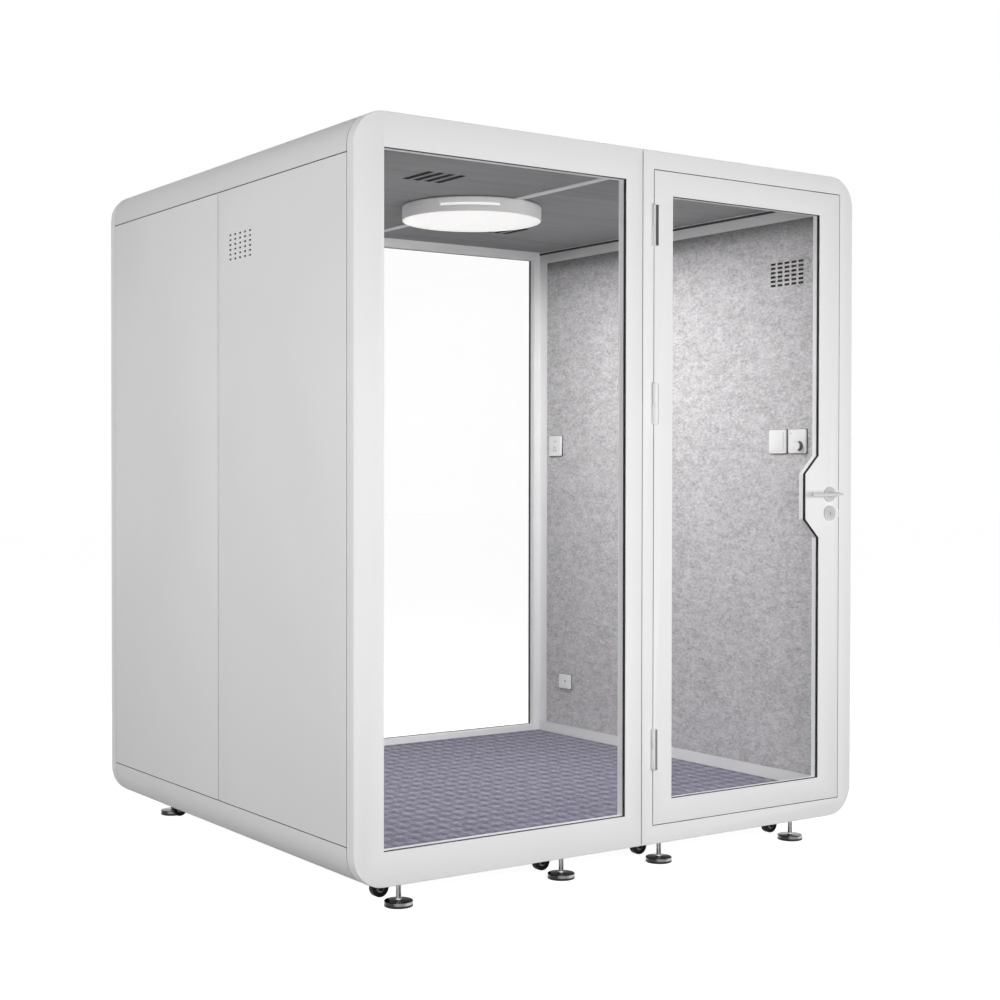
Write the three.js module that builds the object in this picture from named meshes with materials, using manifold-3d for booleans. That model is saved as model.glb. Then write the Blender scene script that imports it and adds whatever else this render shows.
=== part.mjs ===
// Acoustic office pod: two glazed ring frames joined by side walls, a roof and a floor tray,
// with a glazed door, a ceiling lamp, wall plates, a fan, levelling feet and swivel castors.
// Millimetres, +Z up. The front faces -Y and the origin lies on the floor under the middle of the box.
import * as THREE from "three";
import { mergeVertices } from "three/addons/utils/BufferGeometryUtils.js";
import Module from "manifold-3d";

// Overall
const WIDTH = 2000;
const DEPTH = 1800; // over the faces of the two ring frames
const HEIGHT = 2300; // floor to roof
const GROUND_CLEARANCE = 85; // floor to the underside of the body
const CORNER_RADIUS = 100; // the four long edges of the body
const EDGE_RADIUS = 3; // rounding round the front and the rear face
const SHEET = 3; // folded steel sheet
const WALL = 70; // side wall, outer sheet to felt face

// Joints between fixed pieces
const SEAM = 3; // width of a visible shadow groove
const SEAM_DEPTH = 8;
const FIT = 0.3; // gap between pieces that touch

// Ring frames
const RING_DEPTH = 40;
const FIXED_STILE = 99; // outer stile of a fixed glazed bay
const FIXED_RAIL = 102; // top and bottom rail of a fixed glazed bay
const MULLION_HALF = 67; // inner stile of a fixed bay, up to the module joint
const MODULE_JOINT_X = 52; // where the left and the right module meet
const POST_DEPTH = 55; // inner corner post that the felt butts against
const CORNER_BAND = 120; // roof and floor sheet folded onto the side, as far as its seam
const PANEL_JOINT_Y = -16; // seam between the two panels of a side

// Glazing
const GLASS = 10;
const GLASS_INSET = 5; // from the frame's face to the glass
const GLASS_BITE = 10; // how far the pane enters its groove
const GASKET = 2; // rubber on each side of the pane

// Roof and ceiling
const CEILING_FALL = 68; // from the roof down to the underside of the ceiling
const CEILING = 8;
const COVE = 20; // thickness of the white edge trim under the roof
const COVE_SHADOW = 5; // dark groove between trim and ceiling
const COVE_SHADOW_DEPTH = 8;
const COVE_LIP = 5;
const LEDGE_MARGIN = 2; // ceiling panel short of the end of its ledge
const BOARD_CLEARANCE = 1.5; // above the edge of a ceiling panel
const BEAM_X = 40; // beam over the joint of the two ceiling panels
const BEAM_WEB = 8; // between the edges of the panels
const BEAM_FLANGE = 36;

// Floor
const DECK_RISE = 72; // from the underside of the body to the top of the deck
const CARPET = 8;
const CHANNEL_HALF = 36; // half the spacing of the two webs over each row of feet

// Felt lining and air slots
const FELT = 16;
const VENT_COLUMNS = 5;
const VENT_ROWS = 6;
const VENT_PITCH_Y = 35;
const VENT_PITCH_Z = 15.5;
const OUTER_VENT_SLOT = 14;
const INNER_VENT_SLOT = 23;
const VENT_SLOT_HEIGHT = 6;
const OUTER_VENT_SETBACK = 162; // in front of the panel joint
const INNER_VENT_SETBACK = 155; // behind the front post
const VENT_FALL = 307; // below the roof
const GRILLE_SLOTS = 4;
const GRILLE_PITCH = 41;
const GRILLE_SLOT_WIDTH = 24;
const GRILLE_SLOT_LENGTH = 160;
const GRILLE_X = 421; // from the middle of the ceiling
const GRILLE_Y = 409;

// Door
const DOOR_JAMB = 45; // from the module joint to the door opening
const DOOR_SIDE_STILE = 62;
const DOOR_RAIL = 59; // ring frame above and below the door
const DOOR = 36; // thickness of the leaf
const DOOR_GAP = 2.5;
const DOOR_STOP = 14; // lip behind the leaf
const DOOR_SEAL = 3; // room for the seal between leaf and lip
const LEAF_HINGE_STILE = 77;
const LEAF_LOCK_STILE = 95;
const LEAF_RAIL = 77;
const LOCK_HEIGHT = 1194; // middle of the widened lock stile
const LOCK_FLAT = 156;
const LOCK_BULGE = 63; // how far the stile widens, at 45 degrees

// Hinges
const HINGE_LOWER_RISE = 247; // from the door opening's sill to the lower hinge
const HINGE_MIDDLE_FALL = 747; // from the opening's head to the middle hinge
const HINGE_UPPER_FALL = 181;
const HINGE_LENGTH = 131;
const BARREL_RADIUS = 9;
const HINGE_PIN_RADIUS = 4;
const HINGE_PIN_LENGTH = 38; // above the lower barrel half
const HINGE_TAB = 11; // foot that carries a barrel half, from the axis
const HINGE_TAB_THICKNESS = 2.5;

// Lock and handles
const BACKSET = 46; // from the leaf's edge to the spindle
const LEVER_RISE = 8; // spindle above the middle of the lock stile
const CYLINDER_FALL = 57; // lock cylinder below it
const ROSE_RADIUS = 26;
const ROSE_THICKNESS = 8;
const ROSE_EDGE = 1.5;
const LEVER_STANDOFF = 48; // from the leaf to the middle of the grip
const LEVER_LENGTH = 129; // from the spindle to the tip
const LEVER_HEEL = 18; // grip on the other side of the spindle
const LEVER_RADIUS = 7;
const LEVER_EDGE = 2;
const SPINDLE_RADIUS = 5;
const SPINDLE_CLEARANCE = 0.5;
const LATCH_THROW = 11;
const LATCH_BEVEL = 8;
const BOLT_THROW = 18;
const BOLT_LENGTH = 38;
const BOLT_HEIGHT = 20;
const BOLT_THICKNESS = 12;
const STRIKE_DEPTH = 4; // strike pocket beyond a thrown bolt
const TURN_LENGTH = 32; // thumb turn inside
const TURN_WIDTH = 10;
const TURN_REACH = 18;

// Lamp
const LAMP_RADIUS = 250;
const LAMP_HEIGHT = 52;
const LAMP_SHELL = 3;
const LAMP_EDGE = 4;
const LAMP_SLOT_HEIGHT = 9;
const LAMP_SLOT_FALL = 26; // from the lamp's top to the middle of its side slots
const LAMP_SLOT_ANGLE = 49; // degrees
const LAMP_SLOT_START = -125; // the first slot faces the camera corner
const LAMP_SLOTS = 3;
const DIFFUSER_WALL_RISE = 8; // diffuser wall above the side slots

// Wall plates on the right-hand felt
const PLATE = 86;
const PLATE_THICKNESS = 9;
const PLATE_EDGE = 1.5;
const PLATE_CORNER = 5;
const PLATE_HEIGHT = 1389;
const SWITCH_SETBACK = 192; // behind the front post
const DIMMER_SETBACK = 93;
const ROCKER = 68;
const ROCKER_MARGIN = 1;
const ROCKER_THICKNESS = 3;
const ROCKER_PROUD = 2;
const ROCKER_TILT = 3; // degrees either way
const ROCKER_RECESS = 6.5;
const FULCRUM_WIDTH = 4;
const FULCRUM_GAP = 0.5;
const KNOB_RADIUS = 15;
const KNOB_HEIGHT = 16;
const KNOB_SHIFT_Y = -13;
const KNOB_SHIFT_Z = -17;
const KNOB_SHAFT_RADIUS = 3;
const KNOB_SHAFT_LENGTH = 6;
const KNOB_NOTCH = 2;
const SOCKET_SETBACK = 70; // in front of the rear post
const SOCKET_HEIGHT = 1393;
const SOCKET_DEPTH = 6;
const PIN_SLOT_WIDTH = 2.6;
const PIN_SLOT_LENGTH = 8;
const PIN_SPACING = 12.7;
const OUTLET_SETBACK = 141;
const OUTLET_HEIGHT = 392;
const OUTLET_PLATE_WIDTH = 81;
const OUTLET_PLATE_HEIGHT = 60;
const OUTLET_HOLE = 18;

// Fan over the front ceiling grille
const FAN_MARGIN = 5; // frame beyond the grille
const FAN_RIM = 7;
const FAN_DEPTH = 36;
const FAN_TIP_GAP = 3;
const FAN_HUB_RADIUS = 28;
const FAN_HUB_HEIGHT = 20;
const FAN_FLOOR_GAP = 6;
const FAN_BLADES = 7;
const FAN_BLADE_PITCH = 36; // degrees
const FAN_BLADE_CHORD = 24;
const FAN_BLADE_THICKNESS = 2.5;
const FAN_BACKPLATE = 4;
const FAN_STRUTS = 3;
const FAN_STRUT_WIDTH = 9;
const FAN_SHAFT_RADIUS = 3;
const FAN_SHAFT_CLEARANCE = 0.4;

// Feet and castors
const FOOT_SIDE_SETBACK = 203; // from the side of the body to the outer feet
const FOOT_INNER_X = 200;
const FOOT_SETBACK = 90; // from the ring's face to the feet
const PAD_RADIUS = 43;
const PAD_HEIGHT = 17;
const PAD_EDGE = 2;
const PAD_RISE = 1; // the pad's top slopes up to the stem
const STEM_RADIUS = 8;
const STEM_CLEARANCE = 0.5;
const FOOT_TRAVEL = 25; // a foot winds up by this much
const STEM_HEADROOM = 4;
const CASTOR_SPACING = 90; // from a foot to the castor behind it
const CASTOR_PLATE = 50;
const CASTOR_TRAIL = 14;
const CROWN_RADIUS = 19;
const CROWN_HEIGHT = 9;
const KINGPIN_RADIUS = 5;
const KINGPIN_CLEARANCE = 0.4;
const KINGPIN_RISE = 10; // above the underside of the body
const WHEEL_RADIUS = 28;
const WHEEL_WIDTH = 26;
const WHEEL_EDGE = 3;
const WHEEL_LIFT = 10; // wheel above the floor while the feet carry the pod
const AXLE_RADIUS = 4;
const AXLE_CLEARANCE = 0.5;
const FORK_SHEET = 3;
const FORK_CLEARANCE = 1.2;
const FORK_END_RADIUS = 9;

// Facets
const CORNER_STEPS = 5; // pairs of facets along a quarter of a body corner
const EDGE_STEPS = 2;
const ROUND_STEPS = 16; // round a pad, a wheel or a rose
const PIN_STEPS = 10;
const LAMP_STEPS = 40;
const PAST = 5; // a cutting body reaches this far past the material
const WELD = 1e-4;

// Places that several pieces share
const HALF_WIDTH = WIDTH / 2;
const HALF_DEPTH = DEPTH / 2;
const SIDES = { left: -1, right: 1 };
const ENDS = { front: -1, rear: 1 };
const WALL_END = HALF_DEPTH - RING_DEPTH - SEAM; // walls, roof and floor end here
const FELT_FACE = HALF_WIDTH - WALL;
const PANEL_BACK = FELT_FACE + FELT;
const PANEL_LOW = GROUND_CLEARANCE + CORNER_BAND;
const PANEL_HIGH = HEIGHT - CORNER_BAND;
const BASE_TOP = PANEL_LOW - SEAM / 2;
const ROOF_LOW = PANEL_HIGH + SEAM / 2;
const FELT_END = WALL_END - POST_DEPTH;
const DECK = GROUND_CLEARANCE + DECK_RISE;
const CEILING_LOW = HEIGHT - CEILING_FALL;
const DOOR_LEFT = MODULE_JOINT_X + DOOR_JAMB;
const DOOR_RIGHT = HALF_WIDTH - DOOR_SIDE_STILE;
const DOOR_LOW = GROUND_CLEARANCE + DOOR_RAIL;
const DOOR_HIGH = HEIGHT - DOOR_RAIL;
const LEAF_LEFT = DOOR_LEFT + DOOR_GAP;
const LEAF_RIGHT = DOOR_RIGHT - DOOR_GAP;
const LEAF_FRONT = -HALF_DEPTH;
const LEAF_BACK = LEAF_FRONT + DOOR;
const HINGE_X = DOOR_LEFT + DOOR_GAP / 2;
const HINGE_Y = LEAF_FRONT - FIT - BARREL_RADIUS;
const SPINDLE_X = LEAF_RIGHT - BACKSET;
const LEVER_Z = LOCK_HEIGHT + LEVER_RISE;
const CYLINDER_Z = LOCK_HEIGHT - CYLINDER_FALL;
const BOLT_Y = (LEAF_FRONT + LEAF_BACK) / 2;
const PLATE_FACE = FELT_FACE - FIT - PLATE_THICKNESS;
const FOOT_OUTER_X = HALF_WIDTH - FOOT_SIDE_SETBACK;
const FOOT_ROWS = [-FOOT_OUTER_X, -FOOT_INNER_X, FOOT_INNER_X, FOOT_OUTER_X];
const FOOT_Y = HALF_DEPTH - FOOT_SETBACK;
const CASTOR_Y = FOOT_Y - CASTOR_SPACING;
const CASTOR_TOP = GROUND_CLEARANCE - SHEET - FIT;
const LAMP_TOP = CEILING_LOW - SHEET - FIT;
const LAMP_LOW = LAMP_TOP - LAMP_HEIGHT;

// Finishes
const WHITE_POWDER = { color: 0xeef0f1, roughness: 0.45, metalness: 0 };
const GREY_POWDER = { color: 0xe3e6e9, roughness: 0.5, metalness: 0 };
const CEILING_GREY = { color: 0x5d6064, roughness: 0.8, metalness: 0 };
const FELT_GREY = { color: 0xb9bbc0, roughness: 1, metalness: 0 };
const CARPET_GREY = { color: 0x6f6b78, roughness: 1, metalness: 0 };
const CLEAR_GLASS = { color: 0xdfeae8, roughness: 0.03, metalness: 0 };
const WHITE_PLASTIC = { color: 0xf4f4f2, roughness: 0.35, metalness: 0 };
const OPAL_PLASTIC = { color: 0xfdfbf4, roughness: 0.5, metalness: 0 };
const DARK_PLASTIC = { color: 0x26282b, roughness: 0.5, metalness: 0 };
const BRUSHED_STEEL = { color: 0x8d9094, roughness: 0.28, metalness: 1 };
const HINGE_STEEL = { color: 0xd9dcde, roughness: 0.4, metalness: 0.1 };
const CHROME = { color: 0xd8dadc, roughness: 0.08, metalness: 1 };
const BLACK_RUBBER = { color: 0x1b1c1e, roughness: 0.6, metalness: 0 };

const wasm = await Module();
wasm.setup();

// The lever stands out in front, so the middle of the box lies in front of the middle of the body.
const pod = new THREE.Group();
pod.name = "pod_on_floor";
pod.position.y = (LEVER_STANDOFF + LEVER_RADIUS) / 2;
const part = new THREE.Group();
part.name = "acoustic_pod";
part.add(pod);

// Bodies
function solid(geometry) {
  const loose = geometry.index ? geometry.toNonIndexed() : geometry;
  const bare = new THREE.BufferGeometry();
  bare.setAttribute("position", loose.getAttribute("position"));
  const welded = mergeVertices(bare, WELD);
  const corners = welded.index.array;
  const kept = [];
  for (let i = 0; i < corners.length; i += 3) {
    const [a, b, c] = [corners[i], corners[i + 1], corners[i + 2]];
    if (a !== b && b !== c && c !== a) {
      kept.push(a, b, c);
    }
  }
  const vertProperties = welded.getAttribute("position").array;
  return new wasm.Manifold(new wasm.Mesh({ numProp: 3, vertProperties, triVerts: new Uint32Array(kept) }));
}

function piece(name, body, finish) {
  const made = body.getMesh();
  const shared = new THREE.BufferGeometry();
  shared.setAttribute("position", new THREE.BufferAttribute(made.vertProperties, made.numProp));
  shared.setIndex(new THREE.BufferAttribute(made.triVerts, 1));
  const faceted = shared.toNonIndexed();
  faceted.computeVertexNormals();
  const mesh = new THREE.Mesh(faceted, new THREE.MeshStandardMaterial(finish));
  mesh.name = name;
  pod.add(mesh);
}

function join(bodies) {
  return bodies.reduce((whole, next) => whole.add(next));
}

function block(xs, ys, zs) {
  const [x0, x1] = [Math.min(...xs), Math.max(...xs)];
  const [y0, y1] = [Math.min(...ys), Math.max(...ys)];
  const [z0, z1] = [Math.min(...zs), Math.max(...zs)];
  const box = new THREE.BoxGeometry(x1 - x0, y1 - y0, z1 - z0);
  box.translate((x0 + x1) / 2, (y0 + y1) / 2, (z0 + z1) / 2);
  return solid(box);
}

function extruded(shape, depth) {
  return new THREE.ExtrudeGeometry(shape, { depth, bevelEnabled: false, curveSegments: CORNER_STEPS });
}

// An outline drawn in front view (x, z), carried through the depth ys.
function frontPrism(shape, ys) {
  const [near, far] = [Math.min(...ys), Math.max(...ys)];
  const body = extruded(shape, far - near);
  body.rotateX(Math.PI / 2);
  body.translate(0, far, 0);
  return solid(body);
}

// An outline drawn in plan (x, y), carried through the height zs.
function planPrism(shape, zs) {
  const body = extruded(shape, zs[1] - zs[0]);
  body.translate(0, 0, zs[0]);
  return solid(body);
}

function outline(points) {
  return new THREE.Shape(points.map(([x, y]) => new THREE.Vector2(x, y)));
}

// A profile of (radius, height) pairs turned about a vertical axis, closed on it at both ends.
function turned(profile, steps = ROUND_STEPS) {
  const lathe = new THREE.LatheGeometry(profile.map(([r, h]) => new THREE.Vector2(r, h)), steps);
  lathe.rotateX(Math.PI / 2);
  return lathe;
}

function disc(radius, low, high, edge = 0) {
  return [[0, low], [radius, low], [radius, high - edge], [radius - edge, high], [0, high]];
}

// A turned body whose axis runs along Y, measured outwards from a face; facing is -1 or +1.
function turnedAlongY(profile, x, face, z, facing, steps) {
  const lathe = turned(profile, steps);
  lathe.rotateX(facing < 0 ? Math.PI / 2 : -Math.PI / 2);
  lathe.translate(x, face, z);
  return solid(lathe);
}

function turnedAlongX(profile, x, y, z, steps) {
  const lathe = turned(profile, steps);
  lathe.rotateY(-Math.PI / 2);
  lathe.translate(x, y, z);
  return solid(lathe);
}

function turnedAt(profile, x, y, z, steps) {
  const lathe = turned(profile, steps);
  lathe.translate(x, y, z);
  return solid(lathe);
}

function bodyOutline(inset) {
  const x = HALF_WIDTH - inset;
  const [low, high] = [GROUND_CLEARANCE + inset, HEIGHT - inset];
  const r = CORNER_RADIUS - inset;
  const shape = new THREE.Shape();
  shape.absarc(x - r, low + r, r, -Math.PI / 2, 0, false);
  shape.absarc(x - r, high - r, r, 0, Math.PI / 2, false);
  shape.absarc(-x + r, high - r, r, Math.PI / 2, Math.PI, false);
  shape.absarc(-x + r, low + r, r, Math.PI, 1.5 * Math.PI, false);
  shape.closePath();
  return shape;
}

function roundedBody() {
  const body = new THREE.ExtrudeGeometry(bodyOutline(0), {
    depth: DEPTH - 2 * EDGE_RADIUS,
    bevelEnabled: true,
    bevelThickness: EDGE_RADIUS,
    bevelSize: EDGE_RADIUS,
    bevelOffset: -EDGE_RADIUS,
    bevelSegments: EDGE_STEPS,
    curveSegments: CORNER_STEPS,
  });
  body.rotateX(Math.PI / 2);
  body.translate(0, HALF_DEPTH - EDGE_RADIUS, 0);
  return solid(body);
}

// Ring frames: rounded outside, with an inner tongue that closes the shadow groove towards the walls.
const ROUNDED = roundedBody();
const FULL_HEIGHT = [GROUND_CLEARANCE - PAST, HEIGHT + PAST];

function ringStrip(end, xs, coreXs) {
  const face = end * HALF_DEPTH;
  const outer = ROUNDED.intersect(block(xs, [face, end * (HALF_DEPTH - RING_DEPTH)], FULL_HEIGHT));
  const coreYs = [end * (HALF_DEPTH - SEAM_DEPTH), end * (WALL_END + FIT)];
  const core = frontPrism(bodyOutline(SEAM_DEPTH), coreYs).intersect(block(coreXs, coreYs, FULL_HEIGHT));
  return outer.add(core);
}

function cornerPost(end, side) {
  const xs = [side * FELT_FACE, side * (PANEL_BACK - FIT)];
  const ys = [end * (HALF_DEPTH - RING_DEPTH), end * FELT_END];
  return block(xs, ys, [BASE_TOP + FIT, ROOF_LOW - FIT]);
}

const GLASS_NEAR = HALF_DEPTH - GLASS_INSET;
const GLASS_FAR = GLASS_NEAR - GLASS;

function bayCut(end, left, right) {
  const zs = [GROUND_CLEARANCE + FIXED_RAIL, HEIGHT - FIXED_RAIL];
  const opening = block([left, right], [end * (HALF_DEPTH + PAST), end * (WALL_END - PAST)], zs);
  const grown = GLASS_BITE + GASKET;
  const grooveYs = [end * (GLASS_NEAR + GASKET), end * (GLASS_FAR - GASKET)];
  const groove = block([left - grown, right + grown], grooveYs, [zs[0] - grown, zs[1] + grown]);
  return opening.add(groove);
}

function bayGlass(end, left, right) {
  const zs = [GROUND_CLEARANCE + FIXED_RAIL - GLASS_BITE, HEIGHT - FIXED_RAIL + GLASS_BITE];
  return block([left - GLASS_BITE, right + GLASS_BITE], [end * GLASS_NEAR, end * GLASS_FAR], zs);
}

const BAY_LEFT = -HALF_WIDTH + FIXED_STILE;
const BAY_MIDDLE_LEFT = MODULE_JOINT_X - MULLION_HALF;
const BAY_MIDDLE_RIGHT = MODULE_JOINT_X + MULLION_HALF;
const BAY_RIGHT = HALF_WIDTH - FIXED_STILE;

const frontLeft = ringStrip(
  ENDS.front,
  [-HALF_WIDTH - PAST, MODULE_JOINT_X - SEAM / 2],
  [-HALF_WIDTH - PAST, MODULE_JOINT_X - FIT / 2],
);
const frontLeftCut = frontLeft.subtract(bayCut(ENDS.front, BAY_LEFT, BAY_MIDDLE_LEFT));
piece("front_frame_left", frontLeftCut.add(cornerPost(ENDS.front, SIDES.left)), WHITE_POWDER);

// The right front frame holds the door opening with a stop lip behind the leaf and two strike pockets.
const frontRight = ringStrip(
  ENDS.front,
  [MODULE_JOINT_X + SEAM / 2, HALF_WIDTH + PAST],
  [MODULE_JOINT_X + FIT / 2, HALF_WIDTH + PAST],
);
const LIP_FRONT = LEAF_BACK + DOOR_SEAL;
const doorway = block([DOOR_LEFT, DOOR_RIGHT], [LEAF_FRONT - PAST, LIP_FRONT], [DOOR_LOW, DOOR_HIGH]);
const behindLip = block(
  [DOOR_LEFT + DOOR_STOP, DOOR_RIGHT - DOOR_STOP],
  [LEAF_FRONT, -WALL_END + PAST],
  [DOOR_LOW + DOOR_STOP, DOOR_HIGH - DOOR_STOP],
);

function boltPocket(xs, z) {
  const ys = [BOLT_Y - BOLT_THICKNESS / 2 - FIT, BOLT_Y + BOLT_THICKNESS / 2 + FIT];
  return block(xs, ys, [z - BOLT_HEIGHT / 2 - FIT, z + BOLT_HEIGHT / 2 + FIT]);
}

const frontRightCut = frontRight
  .subtract(doorway)
  .subtract(behindLip)
  .subtract(boltPocket([DOOR_RIGHT - PAST, LEAF_RIGHT + LATCH_THROW + STRIKE_DEPTH], LEVER_Z))
  .subtract(boltPocket([DOOR_RIGHT - PAST, LEAF_RIGHT + BOLT_THROW + STRIKE_DEPTH], CYLINDER_Z));
piece("front_frame_right", frontRightCut.add(cornerPost(ENDS.front, SIDES.right)), WHITE_POWDER);

const ACROSS = [-HALF_WIDTH - PAST, HALF_WIDTH + PAST];
const rearRing = ringStrip(ENDS.rear, ACROSS, ACROSS)
  .subtract(bayCut(ENDS.rear, BAY_LEFT, BAY_MIDDLE_LEFT))
  .subtract(bayCut(ENDS.rear, BAY_MIDDLE_RIGHT, BAY_RIGHT))
  .add(cornerPost(ENDS.rear, SIDES.left))
  .add(cornerPost(ENDS.rear, SIDES.right));
piece("rear_frame", rearRing, WHITE_POWDER);

piece("front_glass", bayGlass(ENDS.front, BAY_LEFT, BAY_MIDDLE_LEFT), CLEAR_GLASS);
piece("rear_glass_left", bayGlass(ENDS.rear, BAY_LEFT, BAY_MIDDLE_LEFT), CLEAR_GLASS);
piece("rear_glass_right", bayGlass(ENDS.rear, BAY_MIDDLE_RIGHT, BAY_RIGHT), CLEAR_GLASS);

// Roof: a sheet between two round corner profiles that carry the cove trims, and the joint beam
// below it. Slots in the profiles and the beam hold the edges of the ceiling panels.
function roofSection() {
  const r = CORNER_RADIUS;
  const [cx, cz] = [HALF_WIDTH - r, HEIGHT - r];
  const roofUnder = HEIGHT - SHEET;
  const coveBack = FELT_FACE + COVE;
  const shadowTop = CEILING_LOW - COVE_LIP;
  const shadowBack = FELT_FACE + COVE_SHADOW_DEPTH;
  const boardRoom = CEILING_LOW + CEILING + BOARD_CLEARANCE;
  const beamLow = CEILING_LOW - SHEET;
  const shape = new THREE.Shape();
  shape.absarc(cx, cz, r, 0, Math.PI / 2, false);
  shape.absarc(-cx, cz, r, Math.PI / 2, Math.PI, false);
  const inside = [
    [-HALF_WIDTH, ROOF_LOW],
    [-FELT_FACE, ROOF_LOW],
    [-FELT_FACE, shadowTop - COVE_SHADOW],
    [-shadowBack, shadowTop - COVE_SHADOW],
    [-shadowBack, shadowTop],
    [-FELT_FACE, shadowTop],
    [-FELT_FACE, CEILING_LOW],
    [-coveBack, CEILING_LOW],
    [-coveBack, boardRoom],
    [-cx, boardRoom],
    [-cx, roofUnder],
  ];
  inside.forEach(([x, z]) => shape.lineTo(x, z));
  const beam = [
    [-BEAM_FLANGE / 2, roofUnder],
    [-BEAM_FLANGE / 2, boardRoom],
    [-BEAM_WEB / 2, boardRoom],
    [-BEAM_WEB / 2, CEILING_LOW],
    [-BEAM_FLANGE / 2, CEILING_LOW],
    [-BEAM_FLANGE / 2, beamLow],
  ];
  beam.forEach(([x, z]) => shape.lineTo(BEAM_X + x, z));
  beam.reverse().forEach(([x, z]) => shape.lineTo(BEAM_X - x, z));
  inside.reverse().forEach(([x, z]) => shape.lineTo(-x, z));
  return shape;
}

piece("roof_cover", frontPrism(roofSection(), [-WALL_END, WALL_END]), WHITE_POWDER);

// Floor tray: skirts, deck and bottom plate with a pair of webs over every row of feet.
function traySection() {
  const r = CORNER_RADIUS;
  const [cx, cz] = [HALF_WIDTH - r, GROUND_CLEARANCE + r];
  const shape = new THREE.Shape();
  shape.absarc(-cx, cz, r, Math.PI, 1.5 * Math.PI, false);
  shape.absarc(cx, cz, r, -Math.PI / 2, 0, false);
  const skirting = [
    [HALF_WIDTH, BASE_TOP],
    [FELT_FACE, BASE_TOP],
    [FELT_FACE, DECK],
    [-FELT_FACE, DECK],
    [-FELT_FACE, BASE_TOP],
    [-HALF_WIDTH, BASE_TOP],
  ];
  skirting.forEach(([x, z]) => shape.lineTo(x, z));
  return shape;
}

// The hollow between the last web and the folded skirt of one side.
function skirtCell(side) {
  const r = CORNER_RADIUS - SHEET;
  const [cx, cz] = [side * (HALF_WIDTH - CORNER_RADIUS), GROUND_CLEARANCE + CORNER_RADIUS];
  const [low, high] = [GROUND_CLEARANCE + SHEET, DECK - SHEET];
  const web = side * (FOOT_OUTER_X + CHANNEL_HALF + SHEET / 2);
  const cell = new THREE.Shape();
  cell.moveTo(web, high);
  cell.lineTo(web, low);
  const from = side < 0 ? 1.5 * Math.PI : -Math.PI / 2;
  const to = side < 0 ? Math.PI : 0;
  cell.absarc(cx, cz, r, from, to, side < 0);
  cell.lineTo(side * (HALF_WIDTH - SHEET), BASE_TOP - SHEET);
  cell.lineTo(side * (FELT_FACE + SHEET), BASE_TOP - SHEET);
  cell.lineTo(side * (FELT_FACE + SHEET), high);
  return frontPrism(cell, [-WALL_END - PAST, WALL_END + PAST]);
}

function trayShell() {
  const webs = FOOT_ROWS.flatMap((x) => [x - CHANNEL_HALF, x + CHANNEL_HALF]);
  const [low, high] = [GROUND_CLEARANCE + SHEET, DECK - SHEET];
  let shell = frontPrism(traySection(), [-WALL_END, WALL_END]);
  for (let i = 0; i + 1 < webs.length; i += 1) {
    const xs = [webs[i] + SHEET / 2, webs[i + 1] - SHEET / 2];
    shell = shell.subtract(block(xs, [-WALL_END - PAST, WALL_END + PAST], [low, high]));
  }
  return shell.subtract(skirtCell(SIDES.left)).subtract(skirtCell(SIDES.right));
}

function eachFoot(action) {
  for (const [end, tag] of [[ENDS.front, "f"], [ENDS.rear, "r"]]) {
    FOOT_ROWS.forEach((x, i) => action(x, end, `${tag}${i + 1}`));
  }
}

let tray = trayShell();
eachFoot((x, end) => {
  const [low, high] = [GROUND_CLEARANCE - SHEET, GROUND_CLEARANCE + SHEET];
  const half = CASTOR_PLATE / 2;
  const y = end * CASTOR_Y;
  const stemHole = disc(STEM_RADIUS + STEM_CLEARANCE, low - PAST, high + PAST);
  const pinHole = disc(KINGPIN_RADIUS + KINGPIN_CLEARANCE, low - PAST, high + PAST);
  tray = tray
    .add(block([x - half, x + half], [y - half, y + half], [low, high]))
    .subtract(turnedAt(stemHole, x, end * FOOT_Y, 0, PIN_STEPS))
    .subtract(turnedAt(pinHole, x, y, 0, PIN_STEPS));
});
piece("base_tray", tray, WHITE_POWDER);

const carpetXs = [-FELT_FACE + FIT, FELT_FACE - FIT];
const carpetYs = [-WALL_END + FIT, WALL_END - FIT];
piece("carpet", block(carpetXs, carpetYs, [DECK + FIT, DECK + CARPET]), CARPET_GREY);

// Side panels: steel pans that open inwards, with lips for the shadow grooves; the felt lies on them.
function ventCut(side, xs, y, length) {
  const slots = [];
  const z = HEIGHT - VENT_FALL;
  for (let row = 0; row < VENT_ROWS; row += 1) {
    for (let column = 0; column < VENT_COLUMNS; column += 1) {
      const cy = y + (column - (VENT_COLUMNS - 1) / 2) * VENT_PITCH_Y;
      const cz = z + (row - (VENT_ROWS - 1) / 2) * VENT_PITCH_Z;
      const ys = [cy - length / 2, cy + length / 2];
      const zs = [cz - VENT_SLOT_HEIGHT / 2, cz + VENT_SLOT_HEIGHT / 2];
      slots.push(block(xs.map((x) => side * x), ys, zs));
    }
  }
  return join(slots);
}

function sidePanel(side, ys, insets) {
  const across = [HALF_WIDTH - SEAM_DEPTH, PANEL_BACK].map((x) => side * x);
  const skinXs = [HALF_WIDTH, HALF_WIDTH - SEAM_DEPTH - SHEET].map((x) => side * x);
  const hollowXs = [HALF_WIDTH - SHEET, PANEL_BACK - PAST].map((x) => side * x);
  const coreYs = [ys[0] + insets[0] * FIT, ys[1] - insets[1] * FIT];
  const core = block(across, coreYs, [BASE_TOP + FIT, ROOF_LOW - FIT]);
  const lip = SEAM / 2;
  const skinYs = [ys[0] + insets[0] * lip, ys[1] - insets[1] * lip];
  const skin = block(skinXs, skinYs, [PANEL_LOW + lip, PANEL_HIGH - lip]);
  const rim = SHEET + lip;
  const hollow = block(hollowXs, [ys[0] + rim, ys[1] - rim], [PANEL_LOW + rim, PANEL_HIGH - rim]);
  return core.add(skin).subtract(hollow);
}

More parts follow.
